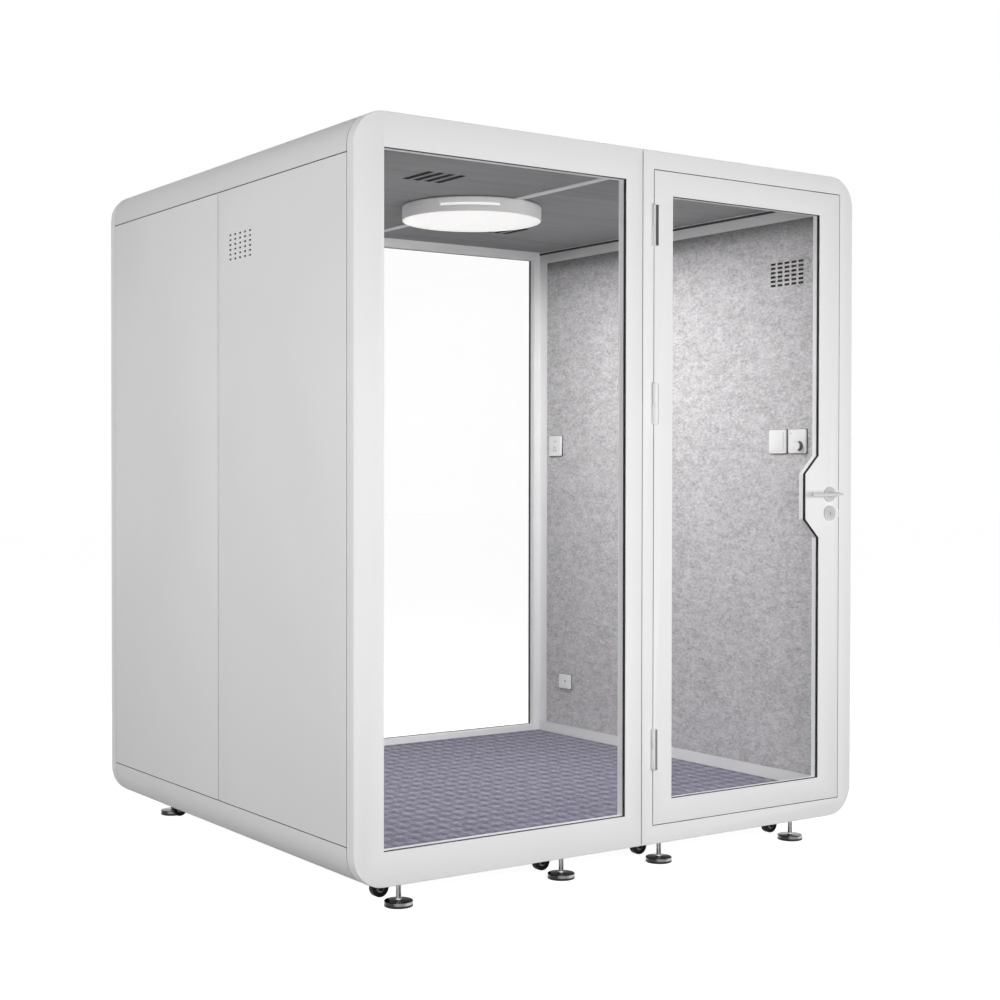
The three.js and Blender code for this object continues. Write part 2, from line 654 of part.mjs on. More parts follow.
const outerVentY = PANEL_JOINT_Y - OUTER_VENT_SETBACK;
const innerVentY = -FELT_END + INNER_VENT_SETBACK;
for (const [word, side] of Object.entries(SIDES)) {
  const skinXs = [HALF_WIDTH + PAST, HALF_WIDTH - SHEET - PAST];
  const skinCut = ventCut(side, skinXs, outerVentY, OUTER_VENT_SLOT);
  const frontPanel = sidePanel(side, [-WALL_END, PANEL_JOINT_Y], [0, 1]).subtract(skinCut);
  piece(`side_panel_${word}_front`, frontPanel, GREY_POWDER);
  piece(`side_panel_${word}_rear`, sidePanel(side, [PANEL_JOINT_Y, WALL_END], [1, 0]), GREY_POWDER);
  const feltXs = [FELT_FACE, PANEL_BACK - FIT].map((x) => side * x);
  const felt = block(feltXs, [-FELT_END + FIT, FELT_END - FIT], [BASE_TOP + FIT, ROOF_LOW - FIT]);
  const feltCut = ventCut(side, [FELT_FACE - PAST, PANEL_BACK + PAST], innerVentY, INNER_VENT_SLOT);
  piece(`felt_${word}`, felt.subtract(feltCut), FELT_GREY);
}

// Ceiling panels with one slotted grille each, in opposite corners.
const CEILING_TOP = CEILING_LOW + CEILING;
function ceilingPanel(xs, x, y) {
  const slots = [];
  for (let i = 0; i < GRILLE_SLOTS; i += 1) {
    const cx = x + (i - (GRILLE_SLOTS - 1) / 2) * GRILLE_PITCH;
    const across = [cx - GRILLE_SLOT_WIDTH / 2, cx + GRILLE_SLOT_WIDTH / 2];
    const along = [y - GRILLE_SLOT_LENGTH / 2, y + GRILLE_SLOT_LENGTH / 2];
    slots.push(block(across, along, [CEILING_LOW - PAST, CEILING_TOP + PAST]));
  }
  const panel = block(xs, [-WALL_END + FIT, WALL_END - FIT], [CEILING_LOW + FIT, CEILING_TOP]);
  return panel.subtract(join(slots));
}

const ledgeEnd = FELT_FACE + COVE - LEDGE_MARGIN;
const besideWeb = BEAM_WEB / 2 + FIT;
const leftCeiling = ceilingPanel([-ledgeEnd, BEAM_X - besideWeb], -GRILLE_X, -GRILLE_Y);
piece("ceiling_left", leftCeiling, CEILING_GREY);
const rightCeiling = ceilingPanel([BEAM_X + besideWeb, ledgeEnd], GRILLE_X, GRILLE_Y);
piece("ceiling_right", rightCeiling, CEILING_GREY);

// Door leaf with its glazed opening, lock bulge, bolt pockets and the upper halves of the hinges.
const LEAF_LOW = DOOR_LOW + DOOR_GAP;
const LEAF_HIGH = DOOR_HIGH - DOOR_GAP;

function leafOpening(grown) {
  const left = LEAF_LEFT + LEAF_HINGE_STILE - grown;
  const right = LEAF_RIGHT - LEAF_LOCK_STILE + grown;
  const [low, high] = [LEAF_LOW + LEAF_RAIL - grown, LEAF_HIGH - LEAF_RAIL + grown];
  const flat = LOCK_FLAT / 2 - grown * Math.tan(Math.PI / 8);
  const foot = flat + LOCK_BULGE;
  return outline([
    [left, low],
    [right, low],
    [right, LOCK_HEIGHT - foot],
    [right - LOCK_BULGE, LOCK_HEIGHT - flat],
    [right - LOCK_BULGE, LOCK_HEIGHT + flat],
    [right, LOCK_HEIGHT + foot],
    [right, high],
    [left, high],
  ]);
}

const hingeHeights = {
  hinge_lower: DOOR_LOW + HINGE_LOWER_RISE,
  hinge_middle: DOOR_HIGH - HINGE_MIDDLE_FALL,
  hinge_upper: DOOR_HIGH - HINGE_UPPER_FALL,
};
const HALF_HINGE = HINGE_LENGTH / 2;
const tabYs = [LEAF_FRONT - FIT - HINGE_TAB_THICKNESS, LEAF_FRONT - FIT];

let leaf = block([LEAF_LEFT, LEAF_RIGHT], [LEAF_FRONT, LEAF_BACK], [LEAF_LOW, LEAF_HIGH])
  .subtract(frontPrism(leafOpening(0), [LEAF_FRONT - PAST, LEAF_BACK + PAST]))
  .subtract(frontPrism(leafOpening(GLASS_BITE + GASKET), [-GLASS_NEAR - GASKET, -GLASS_FAR + GASKET]));
for (const z of Object.values(hingeHeights)) {
  const barrel = disc(BARREL_RADIUS, z + FIT / 2, z + HALF_HINGE);
  const bore = disc(HINGE_PIN_RADIUS + FIT, z - PAST, z + HINGE_PIN_LENGTH + FIT);
  const tabZs = [z + FIT / 2, z + HALF_HINGE];
  leaf = leaf
    .add(turnedAt(barrel, HINGE_X, HINGE_Y, 0))
    .add(block([HINGE_X, HINGE_X + HINGE_TAB], [tabYs[0], LEAF_FRONT + FIT], tabZs))
    .subtract(turnedAt(bore, HINGE_X, HINGE_Y, 0, PIN_STEPS));
}
const latchBack = LEAF_RIGHT + LATCH_THROW - BOLT_LENGTH;
const boltBack = LEAF_RIGHT - FIT - BOLT_LENGTH;
const spindleHole = disc(SPINDLE_RADIUS + SPINDLE_CLEARANCE, -PAST, DOOR + PAST);
leaf = leaf
  .subtract(boltPocket([latchBack - LATCH_THROW - FIT, LEAF_RIGHT + PAST], LEVER_Z))
  .subtract(boltPocket([boltBack - FIT, LEAF_RIGHT + PAST], CYLINDER_Z))
  .subtract(turnedAlongY(spindleHole, SPINDLE_X, LEAF_FRONT, LEVER_Z, 1, PIN_STEPS))
  .subtract(turnedAlongY(spindleHole, SPINDLE_X, LEAF_FRONT, CYLINDER_Z, 1, PIN_STEPS));
piece("door_frame", leaf, WHITE_POWDER);
piece("door_glass", frontPrism(leafOpening(GLASS_BITE), [-GLASS_NEAR, -GLASS_FAR]), CLEAR_GLASS);

for (const [name, z] of Object.entries(hingeHeights)) {
  const barrel = disc(BARREL_RADIUS, z - HALF_HINGE, z - FIT / 2);
  const pin = disc(HINGE_PIN_RADIUS, z - PAST, z + HINGE_PIN_LENGTH);
  const tab = block([HINGE_X - HINGE_TAB, HINGE_X], tabYs, [z - HALF_HINGE, z - FIT / 2]);
  const half = turnedAt(barrel, HINGE_X, HINGE_Y, 0).add(turnedAt(pin, HINGE_X, HINGE_Y, 0, PIN_STEPS));
  piece(name, half.add(tab), HINGE_STEEL);
}

// Lever handles on one spindle, then the latch they draw, the lock cylinder and the deadbolt it throws.
function grip(face, facing) {
  const neck = disc(LEVER_RADIUS, ROSE_THICKNESS / 2, LEVER_STANDOFF);
  const bar = disc(LEVER_RADIUS, -LEVER_HEEL, LEVER_LENGTH, LEVER_EDGE);
  return turnedAlongY(neck, SPINDLE_X, face, LEVER_Z, facing, PIN_STEPS)
    .add(turnedAlongX(bar, SPINDLE_X, face + facing * LEVER_STANDOFF, LEVER_Z, PIN_STEPS));
}

const rose = disc(ROSE_RADIUS, FIT, ROSE_THICKNESS, ROSE_EDGE);
const spindle = disc(SPINDLE_RADIUS, -ROSE_THICKNESS / 2, DOOR + ROSE_THICKNESS / 2);

function throughDoor(z) {
  return join([
    turnedAlongY(rose, SPINDLE_X, LEAF_FRONT, z, -1),
    turnedAlongY(rose, SPINDLE_X, LEAF_BACK, z, 1),
    turnedAlongY(spindle, SPINDLE_X, LEAF_FRONT, z, 1, PIN_STEPS),
  ]);
}

const levers = throughDoor(LEVER_Z).add(grip(LEAF_FRONT, -1)).add(grip(LEAF_BACK, 1));
piece("lever_set", levers, BRUSHED_STEEL);

const latchTip = LEAF_RIGHT + LATCH_THROW;
const latchYs = [BOLT_Y - BOLT_THICKNESS / 2, BOLT_Y + BOLT_THICKNESS / 2];
const latchPlan = outline([
  [latchBack, latchYs[0]],
  [latchTip, latchYs[0]],
  [latchTip, latchYs[1] - LATCH_BEVEL],
  [latchTip - LATCH_BEVEL, latchYs[1]],
  [latchBack, latchYs[1]],
]);
const latchZs = [LEVER_Z - BOLT_HEIGHT / 2, LEVER_Z + BOLT_HEIGHT / 2];
piece("latch_bolt", planPrism(latchPlan, latchZs), BRUSHED_STEEL);

const turnXs = [SPINDLE_X - TURN_WIDTH / 2, SPINDLE_X + TURN_WIDTH / 2];
const turnYs = [LEAF_BACK + ROSE_THICKNESS / 2, LEAF_BACK + ROSE_THICKNESS + TURN_REACH];
const turnZs = [CYLINDER_Z - TURN_LENGTH / 2, CYLINDER_Z + TURN_LENGTH / 2];
piece("lock_cylinder", throughDoor(CYLINDER_Z).add(block(turnXs, turnYs, turnZs)), BRUSHED_STEEL);

const boltZs = [CYLINDER_Z - BOLT_HEIGHT / 2, CYLINDER_Z + BOLT_HEIGHT / 2];
piece("deadbolt", block([boltBack, boltBack + BOLT_LENGTH], latchYs, boltZs), BRUSHED_STEEL);

// Ceiling lamp: a drum with four side slots, and an opal dish whose wall shows through them.
const slotZ = LAMP_TOP - LAMP_SLOT_FALL;
const dishRadius = LAMP_RADIUS - LAMP_SHELL - FIT;
const dishTop = slotZ + LAMP_SLOT_HEIGHT / 2 + DIFFUSER_WALL_RISE;
const drumProfile = [
  [0, LAMP_TOP - LAMP_SHELL],
  [LAMP_RADIUS - LAMP_SHELL, LAMP_TOP - LAMP_SHELL],
  [LAMP_RADIUS - LAMP_SHELL, LAMP_LOW],
  [LAMP_RADIUS - LAMP_SHELL / 2, LAMP_LOW],
  [LAMP_RADIUS, LAMP_LOW + LAMP_SHELL / 2],
  [LAMP_RADIUS, LAMP_TOP - LAMP_EDGE],
  [LAMP_RADIUS - LAMP_EDGE, LAMP_TOP],
  [0, LAMP_TOP],
];
let drum = turnedAt(drumProfile, 0, 0, 0, LAMP_STEPS);
for (let i = 0; i < LAMP_SLOTS; i += 1) {
  const middle = THREE.MathUtils.degToRad(LAMP_SLOT_START + (360 / LAMP_SLOTS) * i);
  const half = THREE.MathUtils.degToRad(LAMP_SLOT_ANGLE / 2);
  const [near, far] = [LAMP_RADIUS - LAMP_SHELL - PAST, LAMP_RADIUS + PAST];
  const arc = new THREE.Shape();
  arc.absarc(0, 0, far, middle - half, middle + half, false);
  arc.absarc(0, 0, near, middle + half, middle - half, true);
  arc.closePath();
  drum = drum.subtract(planPrism(arc, [slotZ - LAMP_SLOT_HEIGHT / 2, slotZ + LAMP_SLOT_HEIGHT / 2]));
}
piece("lamp_housing", drum, WHITE_POWDER);
const dishProfile = [
  [0, LAMP_LOW],
  [dishRadius, LAMP_LOW],
  [dishRadius, dishTop],
  [dishRadius - LAMP_SHELL, dishTop],
  [dishRadius - LAMP_SHELL, LAMP_LOW + LAMP_SHELL],
  [0, LAMP_LOW + LAMP_SHELL],
];
piece("lamp_diffuser", turnedAt(dishProfile, 0, 0, 0, LAMP_STEPS), OPAL_PLASTIC);

// Wall plates: rounded slabs on the right-hand felt, each measured from the middle of its face.
function wallPlate(y, z, width, height) {
  const [hy, hz] = [width / 2 - PLATE_EDGE, height / 2 - PLATE_EDGE];
  const r = PLATE_CORNER;
  const shape = new THREE.Shape();
  shape.absarc(hy - r, -hz + r, r, -Math.PI / 2, 0, false);
  shape.absarc(hy - r, hz - r, r, 0, Math.PI / 2, false);
  shape.absarc(-hy + r, hz - r, r, Math.PI / 2, Math.PI, false);
  shape.absarc(-hy + r, -hz + r, r, Math.PI, 1.5 * Math.PI, false);
  shape.closePath();
  const slab = new THREE.ExtrudeGeometry(shape, {
    depth: PLATE_THICKNESS,
    bevelEnabled: true,
    bevelThickness: PLATE_EDGE,
    bevelSize: PLATE_EDGE,
    bevelSegments: 1,
    curveSegments: 2,
  });
  const ontoWall = new THREE.Matrix4().makeBasis(
    new THREE.Vector3(0, 1, 0),
    new THREE.Vector3(0, 0, 1),
    new THREE.Vector3(1, 0, 0),
  );
  slab.applyMatrix4(ontoWall);
  slab.translate(PLATE_FACE + PLATE_EDGE, y, z);
  const back = PLATE_FACE + PLATE_THICKNESS;
  const spare = block([back, back + PLATE_THICKNESS], [y - width, y + width], [z - height, z + height]);
  return solid(slab).subtract(spare);
}

function facePocket(y, z, width, height, depth, tilt = 0) {
  const pocket = new THREE.BoxGeometry(2 * depth, width, height);
  pocket.rotateX(THREE.MathUtils.degToRad(tilt));
  pocket.translate(PLATE_FACE, y, z);
  return solid(pocket);
}

const switchY = -FELT_END + SWITCH_SETBACK;
const recessSize = ROCKER + 2 * ROCKER_MARGIN;
const recess = facePocket(switchY, PLATE_HEIGHT, recessSize, recessSize, ROCKER_RECESS);
piece("switch_plate", wallPlate(switchY, PLATE_HEIGHT, PLATE, PLATE).subtract(recess), WHITE_PLASTIC);

const rockerSlab = new THREE.BoxGeometry(ROCKER_THICKNESS, ROCKER, ROCKER);
rockerSlab.translate(ROCKER_THICKNESS / 2, 0, 0);
const fulcrumDepth = ROCKER_PROUD + ROCKER_RECESS - FULCRUM_GAP;
const fulcrum = new THREE.BoxGeometry(fulcrumDepth - ROCKER_THICKNESS / 2, ROCKER / 2, FULCRUM_WIDTH);
fulcrum.translate((fulcrumDepth + ROCKER_THICKNESS / 2) / 2, 0, 0);
const rocker = [rockerSlab, fulcrum].map((shape) => {
  shape.translate(-ROCKER_THICKNESS, 0, 0);
  shape.rotateY(THREE.MathUtils.degToRad(-ROCKER_TILT));
  shape.translate(PLATE_FACE - ROCKER_PROUD + ROCKER_THICKNESS, switchY, PLATE_HEIGHT);
  return solid(shape);
});
piece("switch_rocker", join(rocker), WHITE_PLASTIC);

const dimmerY = -FELT_END + DIMMER_SETBACK;
const [knobY, knobZ] = [dimmerY + KNOB_SHIFT_Y, PLATE_HEIGHT + KNOB_SHIFT_Z];
const shaftHole = disc(KNOB_SHAFT_RADIUS + FIT, -KNOB_SHAFT_LENGTH - FIT, PAST);
const dimmer = wallPlate(dimmerY, PLATE_HEIGHT, PLATE, PLATE)
  .subtract(turnedAlongX(shaftHole, PLATE_FACE, knobY, knobZ, PIN_STEPS));
piece("dimmer_plate", dimmer, WHITE_PLASTIC);
const knobHead = disc(KNOB_RADIUS, FIT, KNOB_HEIGHT, PLATE_EDGE);
const knobShaft = disc(KNOB_SHAFT_RADIUS, -KNOB_SHAFT_LENGTH, PLATE_EDGE);
const knob = turnedAlongX(knobHead, PLATE_FACE, knobY, knobZ)
  .add(turnedAlongX(knobShaft, PLATE_FACE, knobY, knobZ, PIN_STEPS))
  .subtract(block(
    [PLATE_FACE - KNOB_HEIGHT - PAST, PLATE_FACE - KNOB_HEIGHT + KNOB_NOTCH],
    [knobY - KNOB_NOTCH / 2, knobY + KNOB_NOTCH / 2],
    [knobZ, knobZ + KNOB_RADIUS + PAST],
  ));
piece("dimmer_knob", knob, WHITE_PLASTIC);

const socketY = FELT_END - SOCKET_SETBACK;
const pinHoles = [
  [-PIN_SPACING / 2, PIN_SPACING * 1.5, 0],
  [PIN_SPACING / 2, PIN_SPACING * 1.5, 0],
  [0, -PIN_SPACING * 0.5, 0],
  [-PIN_SPACING * 0.63, -PIN_SPACING * 1.6, 30],
  [PIN_SPACING * 0.63, -PIN_SPACING * 1.6, -30],
];
let socket = wallPlate(socketY, SOCKET_HEIGHT, PLATE, PLATE);
for (const [dy, dz, tilt] of pinHoles) {
  const [y, z] = [socketY + dy, SOCKET_HEIGHT + dz];
  socket = socket.subtract(facePocket(y, z, PIN_SLOT_WIDTH, PIN_SLOT_LENGTH, SOCKET_DEPTH, tilt));
}
piece("socket_upper", socket, WHITE_PLASTIC);
const outletY = FELT_END - OUTLET_SETBACK;
const outlet = wallPlate(outletY, OUTLET_HEIGHT, OUTLET_PLATE_WIDTH, OUTLET_PLATE_HEIGHT)
  .subtract(facePocket(outletY, OUTLET_HEIGHT, OUTLET_HOLE, OUTLET_HOLE, SOCKET_DEPTH));
piece("socket_lower", outlet, WHITE_PLASTIC);

// Exhaust fan standing on the front grille: square frame, back struts and a bladed rotor.
const fanX = -GRILLE_X;
const fanY = -GRILLE_Y;
const fanLow = CEILING_TOP + FIT;
const grilleSpan = Math.max(GRILLE_SLOT_LENGTH, (GRILLE_SLOTS - 1) * GRILLE_PITCH + GRILLE_SLOT_WIDTH);
const fanHalf = grilleSpan / 2 + FAN_MARGIN;
const fanBore = fanHalf - FAN_RIM;
const plateLow = FAN_DEPTH - FAN_BACKPLATE;

function aboutFan(geometry, turn) {
  geometry.rotateZ(turn);
  geometry.translate(fanX, fanY, fanLow);
  return solid(geometry);
}

const fanXs = [fanX - fanHalf, fanX + fanHalf];
const fanYs = [fanY - fanHalf, fanY + fanHalf];
let fanFrame = block(fanXs, fanYs, [fanLow, fanLow + FAN_DEPTH])
  .subtract(turnedAt(disc(fanBore, -PAST, FAN_DEPTH + PAST), fanX, fanY, fanLow, 2 * ROUND_STEPS))
  .add(turnedAt(disc(FAN_HUB_RADIUS, plateLow, FAN_DEPTH), fanX, fanY, fanLow));
for (let i = 0; i < FAN_STRUTS; i += 1) {
  const reach = fanBore + FAN_RIM / 2;
  const strut = new THREE.BoxGeometry(reach, FAN_STRUT_WIDTH, FAN_BACKPLATE);
  strut.translate(reach / 2, 0, plateLow + FAN_BACKPLATE / 2);
  fanFrame = fanFrame.add(aboutFan(strut, (2 * Math.PI * i) / FAN_STRUTS));
}
const shaftBore = disc(FAN_SHAFT_RADIUS + FAN_SHAFT_CLEARANCE, plateLow - PAST, FAN_DEPTH + PAST);
fanFrame = fanFrame.subtract(turnedAt(shaftBore, fanX, fanY, fanLow, PIN_STEPS));
piece("fan_housing", fanFrame, DARK_PLASTIC);

const hubTop = FAN_FLOOR_GAP + FAN_HUB_HEIGHT;
let rotor = turnedAt(disc(FAN_HUB_RADIUS, FAN_FLOOR_GAP, hubTop), fanX, fanY, fanLow)
  .add(turnedAt(disc(FAN_SHAFT_RADIUS, hubTop - PAST, FAN_DEPTH), fanX, fanY, fanLow, PIN_STEPS));
for (let i = 0; i < FAN_BLADES; i += 1) {
  const root = FAN_HUB_RADIUS - PAST;
  const tip = fanBore - FAN_TIP_GAP;
  const blade = new THREE.BoxGeometry(tip - root, FAN_BLADE_CHORD, FAN_BLADE_THICKNESS);
  blade.rotateX(THREE.MathUtils.degToRad(FAN_BLADE_PITCH));
  blade.translate((tip + root) / 2, 0, FAN_FLOOR_GAP + FAN_HUB_HEIGHT / 2);
  rotor = rotor.add(aboutFan(blade, (2 * Math.PI * i) / FAN_BLADES));
}
piece("fan_rotor", rotor, DARK_PLASTIC);

// Levelling feet: a round pad on a screwed stem that winds up into the tray.
const stemTop = DECK - SHEET - FOOT_TRAVEL - STEM_HEADROOM;
const footProfile = [
  [0, 0],
  [PAD_RADIUS - PAD_EDGE, 0],
  [PAD_RADIUS, PAD_EDGE],
  [PAD_RADIUS, PAD_HEIGHT - PAD_EDGE],
  [PAD_RADIUS - PAD_EDGE, PAD_HEIGHT],
  [STEM_RADIUS, PAD_HEIGHT + PAD_RISE],
  [STEM_RADIUS, stemTop],
  [0, stemTop],
];
eachFoot((x, end, tag) => {
  piece(`foot_${tag}`, turnedAt(footProfile, x, end * FOOT_Y, 0), CHROME);
});

// Castors: a kingpin, a crown and two cheeks that carry the axle, with a free wheel between them.
const axleZ = WHEEL_LIFT + WHEEL_RADIUS;
const cheekIn = WHEEL_WIDTH / 2 + FORK_CLEARANCE;
const cheekOut = cheekIn + FORK_SHEET;
const crownLow = CASTOR_TOP - CROWN_HEIGHT;

function castorFork(x, y) {
  const axleX = x - CASTOR_TRAIL;
  const crown = turnedAt(disc(CROWN_RADIUS, crownLow, CASTOR_TOP), x, y, 0);
  const kingpin = disc(KINGPIN_RADIUS, CASTOR_TOP - PAST, GROUND_CLEARANCE + KINGPIN_RISE);
  const cheek = new THREE.Shape();
  cheek.moveTo(x + CROWN_RADIUS * 0.5, crownLow + CROWN_HEIGHT / 2);
  cheek.lineTo(axleX - FORK_END_RADIUS, crownLow + CROWN_HEIGHT / 2);
  cheek.absarc(axleX, axleZ, FORK_END_RADIUS, Math.PI, 1.75 * Math.PI, false);
  cheek.closePath();
  const axle = disc(AXLE_RADIUS, -cheekOut + FORK_SHEET / 2, cheekOut - FORK_SHEET / 2);
  return join([
    crown,
    turnedAt(kingpin, x, y, 0, PIN_STEPS),
    frontPrism(cheek, [y - cheekOut, y - cheekIn]),
    frontPrism(cheek, [y + cheekIn, y + cheekOut]),
    turnedAlongY(axle, axleX, y, axleZ, 1, PIN_STEPS),
  ]);
}

const halfWheel = WHEEL_WIDTH / 2;
const bore = AXLE_RADIUS + AXLE_CLEARANCE;
const wheelProfile = [
  [bore, -halfWheel],
  [WHEEL_RADIUS - WHEEL_EDGE, -halfWheel],
  [WHEEL_RADIUS, -halfWheel + WHEEL_EDGE],
  [WHEEL_RADIUS, halfWheel - WHEEL_EDGE],
  [WHEEL_RADIUS - WHEEL_EDGE, halfWheel],
  [bore, halfWheel],
  [bore, -halfWheel],
];
eachFoot((x, end, tag) => {
  const y = end * CASTOR_Y;
  piece(`castor_fork_${tag}`, castorFork(x, y), BRUSHED_STEEL);
  piece(`castor_wheel_${tag}`, turnedAlongY(wheelProfile, x - CASTOR_TRAIL, y, axleZ, 1), BLACK_RUBBER);
});

export default part;
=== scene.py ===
import math

import bmesh
import bpy
from mathutils import Matrix, Quaternion, Vector


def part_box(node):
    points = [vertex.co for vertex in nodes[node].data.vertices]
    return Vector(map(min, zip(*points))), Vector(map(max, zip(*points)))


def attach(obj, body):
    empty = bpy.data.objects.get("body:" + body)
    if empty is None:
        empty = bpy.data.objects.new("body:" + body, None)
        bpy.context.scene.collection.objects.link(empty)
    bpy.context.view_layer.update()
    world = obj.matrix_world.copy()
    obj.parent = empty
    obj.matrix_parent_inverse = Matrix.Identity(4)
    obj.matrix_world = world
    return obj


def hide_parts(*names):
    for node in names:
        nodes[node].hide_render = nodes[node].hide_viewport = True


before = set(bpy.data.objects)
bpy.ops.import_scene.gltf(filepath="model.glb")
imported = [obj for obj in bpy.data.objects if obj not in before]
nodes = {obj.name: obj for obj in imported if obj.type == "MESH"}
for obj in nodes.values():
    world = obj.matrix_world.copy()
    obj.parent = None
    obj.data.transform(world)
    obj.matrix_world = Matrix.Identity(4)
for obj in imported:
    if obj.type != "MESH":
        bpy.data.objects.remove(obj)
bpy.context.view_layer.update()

# Floor tray: the steel base the pod stands on, folded from sheet with rounded skirts and welded webs.
# Its powder coat is sprayed on and baked, and it is bolted under the two ring frames.
MM = 0.001


def linear(code):
    """Linear RGBA of an sRGB hex colour."""
    channels = [int(code[i:i + 2], 16) / 255 for i in (1, 3, 5)]
    return [c / 12.92 if c <= 0.04045 else ((c + 0.055) / 1.055) ** 2.4 for c in channels] + [1.0]


def add(tree, kind, settings=None, links=None):
    """Adds a node with its settings (sockets or properties) and its links {input: (node, output)}."""
    node = tree.nodes.new(kind)
    for key, value in (settings or {}).items():
        if key == "stops":
            while len(node.color_ramp.elements) < len(value):
                node.color_ramp.elements.new(0.5)
            for stop, (where, code) in zip(node.color_ramp.elements, value):
                stop.position = where
                stop.color = linear(code)
        elif isinstance(key, int) or key in node.inputs:
            node.inputs[key].default_value = value
        else:
            setattr(node, key, value)
    for key, (source, output) in (links or {}).items():
        tree.links.new(source.outputs[output], node.inputs[key])
    return node


def new_material(name, **sockets):
    """A material with plain sockets of its Principled shader set; returns it, its tree and the shader."""
    made = bpy.data.materials.new(name)
    made.use_nodes = True
    shader = made.node_tree.nodes["Principled BSDF"]
    for key, value in sockets.items():
        shader.inputs[key.replace("_", " ")].default_value = value
    return made, made.node_tree, shader


def powder_coat(name, pale, deep, rough):
    """Polyester powder coat on metal: satin, faintly clouded, with the orange peel of baked powder.
    The peel is about 1.5 mm on the real sheet and drawn at 6 mm so that it shows."""
    made, tree, shader = new_material(name, IOR=1.5)
    spot = add(tree, "ShaderNodeTexCoord")
    cloud = add(tree, "ShaderNodeTexNoise", {"Scale": 1 / (420 * MM), "Detail": 3.0}, {"Vector": (spot, "Object")})
    tone = add(tree, "ShaderNodeValToRGB", {"stops": [(0.3, deep), (0.7, pale)]}, {"Fac": (cloud, "Fac")})
    peel = add(tree, "ShaderNodeTexNoise", {"Scale": 1 / (6 * MM), "Detail": 1.0}, {"Vector": (spot, "Object")})
    gloss = add(tree, "ShaderNodeMapRange", {"To Min": rough - 0.04, "To Max": rough + 0.04}, {"Value": (peel, "Fac")})
    bump = add(tree, "ShaderNodeBump", {"Strength": 0.06, "Distance": 0.3 * MM}, {"Height": (peel, "Fac")})
    tree.links.new(tone.outputs["Color"], shader.inputs["Base Color"])
    tree.links.new(gloss.outputs["Result"], shader.inputs["Roughness"])
    tree.links.new(bump.outputs["Normal"], shader.inputs["Normal"])
    return made


def facet_smoother(angle):
    """Geometry nodes that shade a faceted mesh smooth, except across edges sharper than the angle."""
    group = bpy.data.node_groups.new("smooth_facets", "GeometryNodeTree")
    group.interface.new_socket("Geometry", in_out="INPUT", socket_type="NodeSocketGeometry")
    group.interface.new_socket("Geometry", in_out="OUTPUT", socket_type="NodeSocketGeometry")
    source = add(group, "NodeGroupInput")
    bend = add(group, "GeometryNodeInputMeshEdgeAngle")
    sharp = add(group, "FunctionNodeCompare", {"operation": "GREATER_THAN", 1: math.radians(angle)},
                {0: (bend, "Unsigned Angle")})
    smooth = add(group, "GeometryNodeSetShadeSmooth", {"domain": "FACE"}, {"Geometry": (source, "Geometry")})
    edges = add(group, "GeometryNodeSetShadeSmooth", {"domain": "EDGE", "Shade Smooth": False},
                {"Geometry": (smooth, "Geometry"), "Selection": (sharp, "Result")})
    add(group, "NodeGroupOutput", links={"Geometry": (edges, "Geometry")})
    return group


smooth_facets = facet_smoother(32)


def round_edges(made, width):
    """Rounds an object's sharp edges by a width in mm."""
    bevel = made.modifiers.new("edges", "BEVEL")
    bevel.width = width * MM
    bevel.segments = 2
    bevel.limit_method = "ANGLE"
    bevel.angle_limit = math.radians(40)


def dress(finish, names, edge=0.0):
    """Gives CAD nodes a finish, rounds their sharp edges by edge mm and shades their facets smooth."""
    for name in names:
        node = nodes[name]
        node.data.materials.clear()
        node.data.materials.append(finish)
        kept = node.data.attributes.get("custom_normal")
        if kept:
            node.data.attributes.remove(kept)
        node.modifiers.new("weld", "WELD").merge_threshold = 0.002 * MM
        if edge:
            round_edges(node, edge)
        node.modifiers.new("smooth", "NODES").node_group = smooth_facets


white_powder = powder_coat("powder_coat_white", "#f1f1f1", "#eeeeee", 0.42)
skirt_powder = powder_coat("powder_coat_off_white", "#e7e7e7", "#e4e4e4", 0.48)
dress(skirt_powder, ["base_tray"], 0.8)

# Levelling feet: a chromed pad on a screwed stem, with a black rubber sole pressed into the pad.
# The stem winds up into the tray, so each foot rides on its own body.
FOOT_TAGS = [f"{end}{i}" for end in "fr" for i in (1, 2, 3, 4)]


def turn(bm, profile, steps=40, to=Matrix.Identity(4), index=0):
    """Turns a profile of (radius, height) in mm about Z and sets it by the matrix."""
    rings = []
    for radius, height in profile:
        count = 1 if radius < 1e-6 else steps
        angles = [2 * math.pi * i / steps for i in range(count)]
        rings.append([bm.verts.new(to @ (Vector((radius * math.cos(a), radius * math.sin(a), height)) * MM))
                      for a in angles])
    for low, high in zip(rings, rings[1:]):
        for i in range(steps):
            j = (i + 1) % steps
            corners = [low[i % len(low)], low[j % len(low)], high[j % len(high)], high[i % len(high)]]
            unique = list(dict.fromkeys(corners))
            if len(unique) > 2:
                bm.faces.new(unique).material_index = index


def finished_mesh(name, bm, finishes, angle=35):
    """Turns a bmesh into a mesh with its finishes, shaded smooth except across sharp edges."""
    bmesh.ops.remove_doubles(bm, verts=bm.verts, dist=1e-6)
    bmesh.ops.recalc_face_normals(bm, faces=bm.faces)
    mesh = bpy.data.meshes.new(name)
    bm.to_mesh(mesh)
    bm.free()
    for finish in finishes if isinstance(finishes, (list, tuple)) else [finishes]:
        mesh.materials.append(finish)
    mesh.polygons.foreach_set("use_smooth", [True] * len(mesh.polygons))
    mesh.set_sharp_from_angle(angle=math.radians(angle))
    return mesh


def place(name, mesh, body, stands_for=(), at=(0, 0, 0)):
    """Sets an object of a mesh in the row frame, ties it to its body and hides the nodes that it replaces."""
    made = bpy.data.objects.new(name, mesh)
    bpy.context.scene.collection.objects.link(made)
    made.location = at
    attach(made, body)
    if stands_for:
        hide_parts(*stands_for)
    return made


